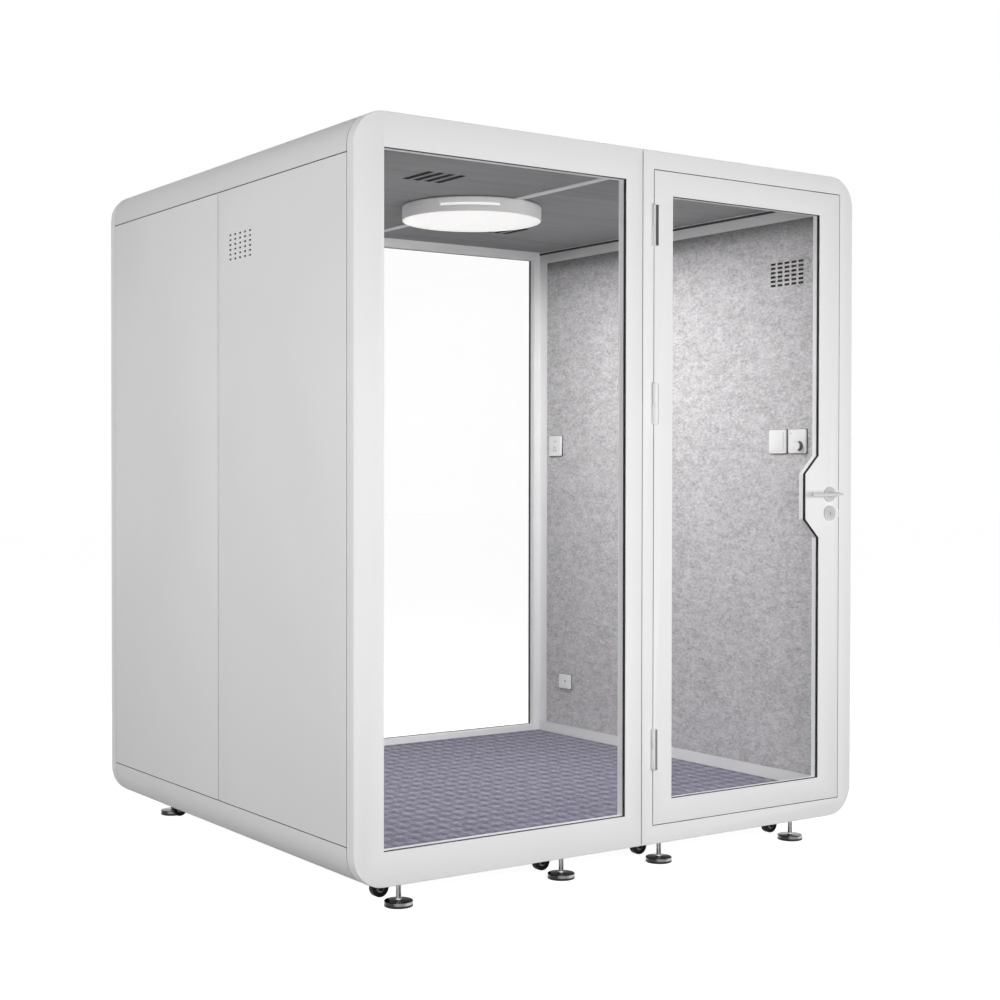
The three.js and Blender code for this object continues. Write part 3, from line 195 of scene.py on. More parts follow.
def metal(name, code, rough, grain_mm, stretch=(1, 1, 1), cloud=None):
    """A bare or plated metal: it mirrors the room, and fine handling marks vary its gloss.
    A cloud colour darkens it in patches, a painted reflection of dark surroundings."""
    made, tree, shader = new_material(name, Metallic=1.0, Base_Color=linear(code))
    spot = add(tree, "ShaderNodeTexCoord")
    along = add(tree, "ShaderNodeMapping", {"Scale": stretch}, {"Vector": (spot, "Object")})
    marks = add(tree, "ShaderNodeTexNoise", {"Scale": 1 / (grain_mm * MM), "Detail": 4.0}, {"Vector": (along, "Vector")})
    gloss = add(tree, "ShaderNodeMapRange", {"To Min": rough * 0.7, "To Max": rough * 1.3}, {"Value": (marks, "Fac")})
    bump = add(tree, "ShaderNodeBump", {"Strength": 0.04, "Distance": 0.1 * MM}, {"Height": (marks, "Fac")})
    tree.links.new(gloss.outputs["Result"], shader.inputs["Roughness"])
    tree.links.new(bump.outputs["Normal"], shader.inputs["Normal"])
    if cloud:
        tone = add(tree, "ShaderNodeValToRGB", {"stops": [(0.4, cloud), (0.6, code)]}, {"Fac": (marks, "Fac")})
        tree.links.new(tone.outputs["Color"], shader.inputs["Base Color"])
    return made


def moulded(name, code, rough, grain_mm, depth=0.05, ior=1.46):
    """A moulded plastic or rubber: one colour, with the fine spark texture of its mould."""
    made, tree, shader = new_material(name, Base_Color=linear(code), IOR=ior)
    spot = add(tree, "ShaderNodeTexCoord")
    spark = add(tree, "ShaderNodeTexNoise", {"Scale": 1 / (grain_mm * MM), "Detail": 2.0}, {"Vector": (spot, "Object")})
    gloss = add(tree, "ShaderNodeMapRange", {"To Min": rough - 0.06, "To Max": rough + 0.06}, {"Value": (spark, "Fac")})
    bump = add(tree, "ShaderNodeBump", {"Strength": 0.15, "Distance": depth * MM}, {"Height": (spark, "Fac")})
    tree.links.new(gloss.outputs["Result"], shader.inputs["Roughness"])
    tree.links.new(bump.outputs["Normal"], shader.inputs["Normal"])
    return made


chrome_plate = metal("chrome_plate", "#dcdcde", 0.16, 12)
# Darker copies of the same chrome for the pad's rim and top: painted reflection of the pod's dark underside.
rim_painted_reflection = metal("chrome_plate_rim_painted_reflection", "#b0b0b2", 0.24, 55, cloud="#3c3d3f")
pad_painted_reflection = metal("chrome_plate_painted_reflection", "#4c4d50", 0.14, 12)
black_rubber = moulded("epdm_rubber_black", "#161617", 0.6, 2)
PAD_R, PAD_TOP, SOLE_TOP, STEM_R, STEM_TOP = 43, 17, 6.5, 8, 125
THREAD_PITCH, THREAD_DEPTH, STEM_STEPS = 2, 0.7, 20


def foot_mesh():
    """One foot: rubber sole, chromed pad with a rounded rim, and a stem with a real helical thread."""
    bm = bmesh.new()
    sole = [(0, 0), (PAD_R - 2, 0), (PAD_R - 0.6, 0.8), (PAD_R - 0.2, 2), (PAD_R - 0.2, SOLE_TOP), (0, SOLE_TOP)]
    turn(bm, sole, 48, index=1)
    edge = [(PAD_R - 2.2 + 2.2 * math.cos(a), PAD_TOP - 2.2 + 2.2 * math.sin(a))
            for a in map(math.radians, (0, 22, 45, 68, 90))]
    turn(bm, [(0, SOLE_TOP), (PAD_R - 1.2, SOLE_TOP), (PAD_R - 0.3, SOLE_TOP + 0.7)] + edge, 48, index=3)
    boss = [(STEM_R + 5, PAD_TOP + 0.6), (STEM_R + 1.5, PAD_TOP + 1), (STEM_R, PAD_TOP + 2.5), (STEM_R - 0.3, PAD_TOP + 6)]
    turn(bm, edge[-1:] + boss[:2], 48, index=2)
    turn(bm, boss[1:] + [(0, PAD_TOP + 6)], 48)
    low = PAD_TOP + 5
    rings = []
    for row in range(int((STEM_TOP - low) / THREAD_PITCH * 4) + 1):
        height = low + row * THREAD_PITCH / 4
        ring = []
        for i in range(STEM_STEPS):
            a = 2 * math.pi * i / STEM_STEPS
            phase = (height / THREAD_PITCH - i / STEM_STEPS) % 1
            radius = STEM_R - THREAD_DEPTH * abs(2 * phase - 1)
            ring.append(bm.verts.new(Vector((radius * math.cos(a), radius * math.sin(a), height)) * MM))
        rings.append(ring)
    for lower, upper in zip(rings, rings[1:]):
        for i in range(STEM_STEPS):
            j = (i + 1) % STEM_STEPS
            bm.faces.new((lower[i], lower[j], upper[j], upper[i]))
    bm.faces.new(rings[0])
    bm.faces.new(rings[-1])
    return finished_mesh("levelling_foot", bm, [chrome_plate, black_rubber, pad_painted_reflection, rim_painted_reflection], 40)


foot = foot_mesh()
for tag in FOOT_TAGS:
    low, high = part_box("foot_" + tag)
    middle = (low + high) / 2
    place("levelling_foot_" + tag, foot, "foot_" + tag, ["foot_" + tag], (middle.x, middle.y, 0))

# Castors: pressed steel forks on a kingpin with a moulded wheel, used to push the pod into place.
# The tread is black rubber and the hub a grey nylon disc; the feet hold the wheels clear of the floor.
fork_zinc = metal("zinc_plate_black", "#28292b", 0.35, 8)
tread_rubber = moulded("castor_rubber", "#0d0d0e", 0.5, 3, ior=1.25)
hub_nylon = moulded("nylon_grey", "#8b8d90", 0.4, 2)
WHEEL_R, WHEEL_HALF, HUB_R, BORE_R = 28, 13, 14, 4.5


def wheel_mesh():
    """A castor wheel with a rounded tread, a recessed web and a raised hub on both faces."""
    bm = bmesh.new()
    lie = Matrix.Rotation(math.pi / 2, 4, "X")
    hub = [(BORE_R, WHEEL_HALF), (7, WHEEL_HALF), (7.5, WHEEL_HALF - 0.5), (8, WHEEL_HALF - 3), (HUB_R, WHEEL_HALF - 3.4)]
    tread = [(HUB_R, WHEEL_HALF - 3.4), (HUB_R + 0.6, WHEEL_HALF - 3.2), (WHEEL_R - 6, WHEEL_HALF - 1.5),
             (WHEEL_R - 4.5, WHEEL_HALF - 0.4), (WHEEL_R - 3, WHEEL_HALF - 0.3)]
    tread += [(WHEEL_R - 3 + 3 * math.sin(a), WHEEL_HALF - 3.3 + 3 * math.cos(a)) for a in map(math.radians, (15, 40, 65, 90))]
    for sign in (1, -1):
        turn(bm, [(r, sign * z) for r, z in hub], 36, lie, 1)
    turn(bm, tread + [(r, -z) for r, z in reversed(tread)], 36, lie)
    turn(bm, [(BORE_R, WHEEL_HALF), (BORE_R, -WHEEL_HALF)], 36, lie, 1)
    return finished_mesh("castor_wheel", bm, [tread_rubber, hub_nylon], 40)


wheel = wheel_mesh()
for tag in FOOT_TAGS:
    low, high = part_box("castor_wheel_" + tag)
    place("rolling_wheel_" + tag, wheel, "wheel_" + tag, ["castor_wheel_" + tag], (low + high) / 2)
dress(fork_zinc, ["castor_fork_" + tag for tag in FOOT_TAGS], 0.6)

# Ring frames: the rounded aluminium frames at the front and the rear that carry glass and door.
# Mitred sections, coated white; a thin groove is left where the two front halves meet.
dress(white_powder, ["front_frame_left", "front_frame_right", "rear_frame"], 1.5)


def mitres(outline):
    """Inward mitre vector at every corner of a closed outline of (x, z) points, counter-clockwise."""
    points = [Vector(p) for p in outline]
    vectors = []
    for i, point in enumerate(points):
        before = (point - points[i - 1]).normalized()
        after = (points[(i + 1) % len(points)] - point).normalized()
        one, two = Vector((-before.y, before.x)), Vector((-after.y, after.x))
        vectors.append((one + two) / (1 + one.dot(two)))
    return vectors


def loop_strip(bm, outline, section, index=0):
    """Runs a closed section of (inset, y) in mm round an outline of (x, z), with mitred corners."""
    rings = [[bm.verts.new(Vector((x + m.x * inset, y, z + m.y * inset)) * MM) for inset, y in section]
             for (x, z), m in zip(outline, mitres(outline))]
    for i, ring in enumerate(rings):
        ahead = rings[(i + 1) % len(rings)]
        for j in range(len(section)):
            k = (j + 1) % len(section)
            bm.faces.new((ring[j], ahead[j], ahead[k], ring[k])).material_index = index


def rounded_outline(xs, zs, radius, steps=10):
    """A rectangle with round corners as (x, z) points, counter-clockwise."""
    points = []
    for turn_at, (x, z) in enumerate(((xs[1], zs[0]), (xs[1], zs[1]), (xs[0], zs[1]), (xs[0], zs[0]))):
        cx = x - radius if x == xs[1] else x + radius
        cz = z + radius if z == zs[0] else z - radius
        for i in range(steps + 1):
            a = math.pi / 2 * (turn_at - 1 + i / steps)
            points.append((cx + radius * math.cos(a), cz + radius * math.sin(a)))
    return points


def rod(bm, start, end, radius, steps=10, index=0):
    """A round cord between two points in mm."""
    a, b = Vector(start) * MM, Vector(end) * MM
    to = Matrix.Translation(a) @ (b - a).to_track_quat("Z", "Y").to_matrix().to_4x4()
    length = (b - a).length / MM
    turn(bm, [(0, 0), (radius, 0), (radius, length), (0, length)], steps, to, index)


def bar(bm, low, high, chamfer=0.0, index=0):
    """A straight bar between two corners in mm, with its four long edges chamfered."""
    low, high = Vector(low), Vector(high)
    size = high - low
    along = max(range(3), key=lambda i: size[i])
    u, v = [i for i in range(3) if i != along]
    c = chamfer
    section = [(c, 0), (size[u] - c, 0), (size[u], c), (size[u], size[v] - c),
               (size[u] - c, size[v]), (c, size[v]), (0, size[v] - c), (0, c)]
    if not c:
        section = section[::2]
    rings = []
    for end in (0, size[along]):
        ring = []
        for a, b in section:
            at = Vector(low)
            at[u] += a
            at[v] += b
            at[along] += end
            ring.append(bm.verts.new(at * MM))
        rings.append(ring)
    for i in range(len(section)):
        j = (i + 1) % len(section)
        bm.faces.new((rings[0][i], rings[0][j], rings[1][j], rings[1][i])).material_index = index
    for ring in rings:
        bm.faces.new(ring).material_index = index


# Joint seals: soft black cords pressed into the grooves between rings, walls, roof and tray.
# They stop sound at every joint and show from outside as thin dark lines.
low, high = [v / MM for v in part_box("side_panel_left_front")]
roof_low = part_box("roof_cover")[0] / MM
tray_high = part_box("base_tray")[1] / MM
ring_low, ring_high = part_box("front_frame_left")[0] / MM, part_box("rear_frame")[1] / MM
HALF, GROOVE, CORD_R, CORD_DEPTH = 1000, 3, 1.4, 2.6
wall_front, wall_rear = roof_low.y, tray_high.y
panel_joint = high.y + 0.3
module_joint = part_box("front_frame_left")[1].x / MM + 0.1
bm = bmesh.new()
for side in (-1, 1):
    x = side * (HALF - CORD_DEPTH)
    for z in (roof_low.z - GROOVE / 2, tray_high.z + GROOVE / 2):
        rod(bm, (x, wall_front + 1, z), (x, wall_rear - 1, z), CORD_R)
    rod(bm, (x, panel_joint, tray_high.z + GROOVE), (x, panel_joint, roof_low.z - GROOVE), CORD_R)
body_outline = rounded_outline((-HALF, HALF), (ring_low.z, ring_high.z), 100)
for y in (wall_front - GROOVE / 2, wall_rear + GROOVE / 2):
    ring = [(CORD_DEPTH + CORD_R * math.cos(math.radians(a)), y + CORD_R * math.sin(math.radians(a))) for a in range(0, 360, 45)]
    loop_strip(bm, body_outline, ring)
rod(bm, (module_joint, ring_low.y + CORD_DEPTH, ring_low.z + 8), (module_joint, ring_low.y + CORD_DEPTH, ring_high.z - 8), CORD_R)
place("joint_seals", finished_mesh("joint_seals", bm, black_rubber), "shell")

# Roof: one folded steel sheet with the white cove trims and the ceiling beam welded under it.
# A black strip with a flat face lies in and over the shadow groove above each cove: painted shade along the groove.
dress(skirt_powder, ["roof_cover"], 0.8)
cove_groove_shade = moulded("cove_groove_painted_shade", "#0a0a0b", 0.95, 3, ior=1.15)
COVE_GROOVE, COVE_FACE = ((929, 937.5), (2222.1, 2226.9)), ((928.9, 929.9), (2218.8, 2227.8))
bm = bmesh.new()
for xs, zs in (COVE_GROOVE, COVE_FACE):
    for side in (-1, 1):
        near, far = sorted(side * x for x in xs)
        bar(bm, (near, wall_front + 1, zs[0]), (far, wall_rear - 1, zs[1]), 0.3)
place("cove_shadow_strips", finished_mesh("cove_shadow_strips", bm, cove_groove_shade), "shell")

# Side walls: steel pans, coated pale grey, hung between the rings with shadow grooves all round.
# Each front panel has a field of punched air slots with a pleated black dust filter behind it.
panel_powder = powder_coat("powder_coat_pale_grey", "#efefef", "#ececec", 0.45)
dress(panel_powder, [f"side_panel_{side}_{end}" for side in ("left", "right") for end in ("front", "rear")], 0.6)
filter_cloth = moulded("filter_cloth_black", "#0a0a0b", 0.95, 4, ior=1.15)
VENT_Z, VENT_ROWS, VENT_COLUMNS, VENT_PITCH = 1993, 6, 5, (35, 15.5)
OUTER_VENT_Y, INNER_VENT_Y, INNER_SLOT = panel_joint - 162, low.y + 210, (24, 7.5)


def pleated_filter(bm, x, depth, y, size, pitch=7):
    """A zigzag sheet of filter cloth, pleated along Z, that stands at x and faces the slots."""
    count = int(size[0] / pitch) * 2
    rows = []
    for i in range(count + 1):
        across = y - size[0] / 2 + size[0] * i / count
        out = x + depth * (i % 2)
        rows.append([bm.verts.new(Vector((out + skin, across, VENT_Z + z)) * MM)
                     for skin in (0, math.copysign(0.8, depth)) for z in (-size[1] / 2, size[1] / 2)])
    for a, b in zip(rows, rows[1:]):
        for i, j in ((0, 1), (1, 3), (3, 2), (2, 0)):
            bm.faces.new((a[i], b[i], b[j], a[j]))
    for end in (rows[0], rows[-1]):
        bm.faces.new((end[0], end[1], end[3], end[2]))


bm = bmesh.new()
for side in (-1, 1):
    pleated_filter(bm, side * 995.5, -side * 4, OUTER_VENT_Y, (200, 110))
    pleated_filter(bm, side * 947, side * 4, INNER_VENT_Y, (200, 110))
place("dust_filters", finished_mesh("dust_filters", bm, filter_cloth), "shell")

# Felt lining: boards of pressed polyester fibre, glued to the wall pans, with air slots cut through.
# Mixed grey fibres give a cloudy, speckled face without any gloss.


def fibre_board(name, stops, blot_mm, fleck_mm, lay, relief, shade_top=None):
    """Pressed fibre: faint blots of colour and finer flecks drawn out along the lay, matt and slightly rough.
    Real fibres are under 0.1 mm wide; the flecks are drawn larger so that they show.
    Painted shade stands in for the cove's shadow and darkens the last 70 mm below the top height, given in mm."""
    made, tree, shader = new_material(name, Roughness=0.95, IOR=1.3)
    shader.inputs["Sheen Weight"].default_value = 0.15
    spot = add(tree, "ShaderNodeTexCoord")
    drawn = add(tree, "ShaderNodeMapping", {"Scale": lay}, {"Vector": (spot, "Object")})
    blot = add(tree, "ShaderNodeTexNoise", {"Scale": 1 / (blot_mm * MM), "Detail": 3.0, "Roughness": 0.6},
               {"Vector": (drawn, "Vector")})
    fleck = add(tree, "ShaderNodeTexNoise", {"Scale": 1 / (fleck_mm * MM), "Detail": 1.0, "Roughness": 0.6},
                {"Vector": (drawn, "Vector")})
    faint = add(tree, "ShaderNodeMath", {"operation": "MULTIPLY", 1: 0.5}, {0: (blot, "Fac")})
    both = add(tree, "ShaderNodeMath", {"operation": "MULTIPLY_ADD", 1: 0.5}, {0: (fleck, "Fac"), 2: (faint, "Value")})
    tone = add(tree, "ShaderNodeValToRGB", {"stops": stops}, {"Fac": (both, "Value")})
    bump = add(tree, "ShaderNodeBump", {"Strength": 0.5, "Distance": relief * MM}, {"Height": (both, "Value")})
    tree.links.new(tone.outputs["Color"], shader.inputs["Base Color"])
    tree.links.new(bump.outputs["Normal"], shader.inputs["Normal"])
    # Painted shade: the felt grows darker towards its top edge, under the cove.
    if shade_top:
        axes = add(tree, "ShaderNodeSeparateXYZ", links={"Vector": (spot, "Object")})
        dust = add(tree, "ShaderNodeMapRange", {"interpolation_type": "SMOOTHSTEP", "From Min": (shade_top - 70) * MM,
                                                "From Max": shade_top * MM, "To Min": 1.0, "To Max": 0.4},
                   {"Value": (axes, "Z")})
        shaded_tone = add(tree, "ShaderNodeVectorMath", {"operation": "SCALE"},
                     {"Vector": (tone, "Color"), "Scale": (dust, "Result")})
        tree.links.new(shaded_tone.outputs["Vector"], shader.inputs["Base Color"])
    return made


def slotted_board(bm, us, vs, ws, holes, to):
    """A board with square holes, built on the grid of all edges; to(u, v, w) gives a place in mm.
    The walls of the holes take the second material."""
    us = sorted({*us, *(edge for hole in holes for edge in hole[0])})
    vs = sorted({*vs, *(edge for hole in holes for edge in hole[1])})
    points = {}

    def corner(i, j, k):
        if (i, j, k) not in points:
            points[i, j, k] = bm.verts.new(Vector(to(us[i], vs[j], ws[k])) * MM)
        return points[i, j, k]

    def solid(i, j):
        if not (0 <= i < len(us) - 1 and 0 <= j < len(vs) - 1):
            return False
        u, v = (us[i] + us[i + 1]) / 2, (vs[j] + vs[j + 1]) / 2
        return not any(hole[0][0] < u < hole[0][1] and hole[1][0] < v < hole[1][1] for hole in holes)

    for i in range(len(us) - 1):
        for j in range(len(vs) - 1):
            if not solid(i, j):
                continue
            for k in (0, 1):
                bm.faces.new([corner(*c, k) for c in ((i, j), (i + 1, j), (i + 1, j + 1), (i, j + 1))])
            sides = {(-1, 0): ((i, j), (i, j + 1)), (1, 0): ((i + 1, j), (i + 1, j + 1)),
                     (0, -1): ((i, j), (i + 1, j)), (0, 1): ((i, j + 1), (i + 1, j + 1))}
            for (di, dj), (a, b) in sides.items():
                if not solid(i + di, j + dj):
                    wall = bm.faces.new((corner(*a, 0), corner(*b, 0), corner(*b, 1), corner(*a, 1)))
                    inside = 0 <= i + di < len(us) - 1 and 0 <= j + dj < len(vs) - 1
                    wall.material_index = int(inside)


def slot_field(middle, pitch, counts, size):
    """The holes of a field of equal slots."""
    holes = []
    for i in range(counts[0]):
        for j in range(counts[1]):
            u = middle[0] + (i - (counts[0] - 1) / 2) * pitch[0]
            v = middle[1] + (j - (counts[1] - 1) / 2) * pitch[1]
            holes.append(((u - size[0] / 2, u + size[0] / 2), (v - size[1] / 2, v + size[1] / 2)))
    return holes


# The felt's top 70 mm take the painted cove shade.
felt = fibre_board("pressed_felt_grey", [(0.3, "#9d9b9c"), (0.5, "#c5c3c4"), (0.7, "#dfddde")], 20, 7, (1, 0.5, 1), 0.3,
                   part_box("felt_right")[1].z / MM)
# Black walls in the slots of the felt and ceiling boards: painted shade inside the holes.
slot_wall_shade = moulded("slot_wall_painted_shade", "#0d0d0d", 0.95, 3, ior=1.15)
for side in ("left", "right"):
    low, high = [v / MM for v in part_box("felt_" + side)]
    bm = bmesh.new()
    holes = slot_field((INNER_VENT_Y, VENT_Z), VENT_PITCH, (VENT_COLUMNS, VENT_ROWS), INNER_SLOT)
    slotted_board(bm, (low.y, high.y), (low.z, high.z), (low.x, high.x), holes, lambda u, v, w: (w, u, v))
    board = place("felt_board_" + side, finished_mesh("felt_board_" + side, bm, [felt, slot_wall_shade]), "shell", ["felt_" + side])
    round_edges(board, 1.2)

# Ceiling: two dark pressed boards that rest on the cove ledges and the beam.
# Each has a grille of four long slots; a fan stands over the front one.
ceiling_fibre = fibre_board("ceiling_board_grey", [(0.3, "#747374"), (0.5, "#807f80"), (0.7, "#8a898a")], 160, 45, (0.15, 1, 1), 0.02)
GRILLE = {"left": (-421, -381.5), "right": (421, 436.5)}
for side, middle in GRILLE.items():
    low, high = [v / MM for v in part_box("ceiling_" + side)]
    bm = bmesh.new()
    holes = slot_field(middle, (41, 0), (4, 1), (24, 160))
    slotted_board(bm, (low.x, high.x), (low.y, high.y), (low.z, high.z), holes, lambda u, v, w: (u, v, w))
    board = place("ceiling_board_" + side, finished_mesh("ceiling_board_" + side, bm, [ceiling_fibre, slot_wall_shade]), "shell",
                  ["ceiling_" + side])
    round_edges(board, 0.8)

# Fan: a black moulded axial fan that stands on the front grille.
fan_nylon = moulded("fan_nylon", "#1d1e20", 0.45, 2)
dress(fan_nylon, ["fan_housing", "fan_rotor"], 0.4)

# Lamp: a white steel drum screwed under the ceiling, with long slots in its side.
# An opal acrylic dish sits inside; its face and the slots glow evenly.
dress(white_powder, ["lamp_housing"], 0.8)
opal, tree, shader = new_material("opal_acrylic", Base_Color=linear("#dcdbd8"), Roughness=0.35)
spot = add(tree, "ShaderNodeTexCoord")
milk = add(tree, "ShaderNodeTexNoise", {"Scale": 1 / (90 * MM), "Detail": 2.0}, {"Vector": (spot, "Object")})
glow = add(tree, "ShaderNodeMapRange", {"To Min": 0.45, "To Max": 0.5}, {"Value": (milk, "Fac")})
shader.inputs["Emission Color"].default_value = linear("#fffefc")
tree.links.new(glow.outputs["Result"], shader.inputs["Emission Strength"])
dress(opal, ["lamp_diffuser"])

# Wall plates: a rocker switch, a dimmer and two sockets moulded in white polycarbonate.
# They clip to boxes behind the right-hand felt; the black inserts in the pin slots are painted shade.
plate_plastic = moulded("polycarbonate_white", "#f4f4f3", 0.3, 2, 0.02)
dress(plate_plastic, ["switch_plate", "switch_rocker", "dimmer_plate", "dimmer_knob", "socket_upper", "socket_lower"], 0.6)
# Black for what lies in holes and recesses (pin slots, the outlet's middle, the ring under the knob, the keyway):
# painted shade.
recess_shade = moulded("recess_painted_shade", "#151516", 0.5, 2)
low, high = [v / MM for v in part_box("socket_upper")]
middle = (low + high) / 2
face = low.x
PIN = 12.7
bm = bmesh.new()
for dy, dz, tilt in ((-PIN / 2, PIN * 1.5, 0), (PIN / 2, PIN * 1.5, 0), (0, -PIN / 2, 0),
                     (-PIN * 0.63, -PIN * 1.6, 30), (PIN * 0.63, -PIN * 1.6, -30)):
    part = bmesh.new()
    bar(part, (0.1, -1.2, -3.9), (5.6, 1.2, 3.9), 0.05)
    part.transform(Matrix.Translation(Vector((face, middle.y + dy, middle.z + dz)) * MM)
                   @ Matrix.Rotation(math.radians(tilt), 4, "X"))
    mesh = bpy.data.meshes.new("contact")
    part.to_mesh(mesh)
    part.free()
    bm.from_mesh(mesh)
    bpy.data.meshes.remove(mesh)
place("socket_slot_shades", finished_mesh("socket_slot_shades", bm, recess_shade), "shell")
low, high = [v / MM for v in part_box("socket_lower")]
middle = (low + high) / 2
bm = bmesh.new()
frame_outline = [(-8.8, -8.8), (8.8, -8.8), (8.8, 8.8), (-8.8, 8.8)]
loop_strip(bm, frame_outline, [(0, 1.0), (4.2, 1.0), (4.8, 1.6), (4.8, 5.6), (0, 5.6)])
# The outlet's dark middle is painted shade.
bar(bm, (-5, 4.6, -5), (5, 5.5, 5), 0.2, 1)
bm.transform(Matrix.Translation(Vector((low.x, middle.y, middle.z)) * MM) @ Matrix.Rotation(-math.pi / 2, 4, "Z"))
place("outlet_insert", finished_mesh("outlet_insert", bm, [plate_plastic, recess_shade]), "shell")
# Black lips round the plates' bases: painted shadow lines where the plates meet the felt.
bm = bmesh.new()
for name in ("switch_plate", "dimmer_plate", "socket_upper", "socket_lower"):
    low, high = [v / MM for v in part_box(name)]
    half_y, half_z = (high.y - low.y) / 2, (high.z - low.z) / 2
    outline = [(-half_y, -half_z), (half_y, -half_z), (half_y, half_z), (-half_y, half_z)]
    lip = bmesh.new()
    loop_strip(lip, outline, [(-1.3, 9.1), (-1.3, 6.6), (-0.8, 6.0), (-0.05, 6.0), (-0.05, 9.1)])
    lip.transform(Matrix.Translation(Vector((low.x, (low.y + high.y) / 2, (low.z + high.z) / 2)) * MM)
                  @ Matrix.Rotation(-math.pi / 2, 4, "Z"))
    mesh = bpy.data.meshes.new("lip")
    lip.to_mesh(mesh)
    lip.free()
    bm.from_mesh(mesh)
    bpy.data.meshes.remove(mesh)
place("plate_shadow_lips", finished_mesh("plate_shadow_lips", bm, black_rubber), "shell")
# A black ring round the knob's base: painted shade where the knob meets the plate.
low, high = [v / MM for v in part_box("dimmer_knob")]
bm = bmesh.new()
to = Matrix.Translation(Vector((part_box("dimmer_plate")[0].x / MM, (low.y + high.y) / 2, (low.z + high.z) / 2)) * MM) @ Matrix.Rotation(-math.pi / 2, 4, "Y")
turn(bm, [(15.4, -0.5), (17.6, -0.5), (17.6, 0.6), (17.0, 1.2), (15.8, 1.2), (15.4, 0.8)], 40, to)
place("dimmer_shadow_ring", finished_mesh("dimmer_shadow_ring", bm, recess_shade), "shell")
# The knob's ribbed side is dark grey: painted shade on the side turned away from the cabin lamp.
knob_side_shade = moulded("knob_side_painted_shade", "#58585a", 0.5, 2)
RIBS = 36
rib_outline = []
for i in range(RIBS * 4):
    radius = 15.8 if i % 4 < 2 else 15.4
    a = 2 * math.pi * i / (RIBS * 4)
    rib_outline.append((radius * math.cos(a), radius * math.sin(a)))
bm = bmesh.new()
loop_strip(bm, rib_outline, [(0, -13.8), (0, -1.6), (0.3, -1.6), (0.3, -13.8)])
bm.transform(Matrix.Translation(Vector((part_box("dimmer_plate")[0].x / MM, (low.y + high.y) / 2, (low.z + high.z) / 2)) * MM)
             @ Matrix.Rotation(-math.pi / 2, 4, "Z"))
place("knob_shaded_side", finished_mesh("knob_shaded_side", bm, knob_side_shade), "knob")
low, high = [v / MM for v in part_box("dimmer_plate")]
bm = bmesh.new()
to = Matrix.Translation(Vector((low.x, high.y - 14, high.z - 14)) * MM) @ Matrix.Rotation(-math.pi / 2, 4, "Y")
turn(bm, [(0, -0.5), (2.2, -0.5), (2.2, 0.3), (1.6, 0.8), (0, 1.0)], 20, to)
place("dimmer_light", finished_mesh("dimmer_light", bm, hub_nylon), "shell")

# Carpet: woven loop pile on a backing, laid loose on the deck between the skirtings.
# The purple-grey yarn is woven in a waffle of cross ribs; painted shade darkens its hollows, so paler crests stand in
# rows both ways.
RIB_X, RIB_Y, RIB_HEIGHT = 51, 72, 1.6


def woven_pile(name):
    """Loop pile: painted shade makes the hollows of the weave darker than its crests, and single tufts speckle both.
    Tufts are 3 mm on the real carpet and drawn at 14 mm so that they show."""
    made, tree, shader = new_material(name, Roughness=0.95, IOR=1.15)
    spot = add(tree, "ShaderNodeTexCoord")
    scaled = add(tree, "ShaderNodeMapping", {"Scale": (2 * math.pi / (RIB_X * MM), 2 * math.pi / (RIB_Y * MM), 1)},
                 {"Vector": (spot, "Object")})
    axes = add(tree, "ShaderNodeSeparateXYZ", links={"Vector": (scaled, "Vector")})
    wave_a = add(tree, "ShaderNodeMath", {"operation": "SINE"}, {0: (axes, "X")})
    wave_b = add(tree, "ShaderNodeMath", {"operation": "SINE"}, {0: (axes, "Y")})
    weave = add(tree, "ShaderNodeMath", {"operation": "ADD"}, {0: (wave_a, "Value"), 1: (wave_b, "Value")})
    tuft = add(tree, "ShaderNodeTexNoise", {"Scale": 1 / (14 * MM), "Detail": 3.0, "Roughness": 0.65}, {"Vector": (spot, "Object")})
    # Painted shade: the weave's wave makes the hollows darker and the crests paler.
    level = add(tree, "ShaderNodeMapRange", {"From Min": -2.0, "From Max": 2.0, "To Min": -0.17, "To Max": 0.17},
                {"Value": (weave, "Value")})
    both = add(tree, "ShaderNodeMath", {"operation": "ADD"}, {0: (tuft, "Fac"), 1: (level, "Result")})
    tone = add(tree, "ShaderNodeValToRGB", {"stops": [(0.25, "#636070"), (0.5, "#827f90"), (0.75, "#a4a1b3")]},
               {"Fac": (both, "Value")})
    bump = add(tree, "ShaderNodeBump", {"Strength": 0.45, "Distance": 1.2 * MM}, {"Height": (both, "Value")})
    tree.links.new(tone.outputs["Color"], shader.inputs["Base Color"])
    tree.links.new(bump.outputs["Normal"], shader.inputs["Normal"])
    return made


carpet_yarn = woven_pile("carpet_yarn")
low, high = [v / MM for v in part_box("carpet")]
STEP = 7
bm = bmesh.new()
counts = [int((high[i] - low[i]) / STEP) for i in (0, 1)]
grid = []
for i in range(counts[0] + 1):
    x = low.x + (high.x - low.x) * i / counts[0]
    column = []
    for j in range(counts[1] + 1):
        y = low.y + (high.y - low.y) * j / counts[1]
        wave = (math.sin(2 * math.pi * x / RIB_X) + math.sin(2 * math.pi * y / RIB_Y)) / 2
        edge = min(i, j, counts[0] - i, counts[1] - j)
        drop = 2.5 if edge == 0 else 0.6 if edge == 1 else 0
        z = high.z - RIB_HEIGHT / 2 + RIB_HEIGHT / 2 * wave - drop
        column.append(bm.verts.new(Vector((x, y, z)) * MM))
    grid.append(column)
for a, b in zip(grid, grid[1:]):
    for j in range(counts[1]):
        bm.faces.new((a[j], b[j], b[j + 1], a[j + 1]))
rim = [c[0] for c in grid] + grid[-1][1:] + [c[-1] for c in reversed(grid[:-1])] + list(reversed(grid[0][1:-1]))
foot_rim = [bm.verts.new((v.co.x, v.co.y, low.z * MM)) for v in rim]
for i in range(len(rim)):
    j = (i + 1) % len(rim)
    bm.faces.new((rim[i], foot_rim[i], foot_rim[j], rim[j]))
bm.faces.new(foot_rim)
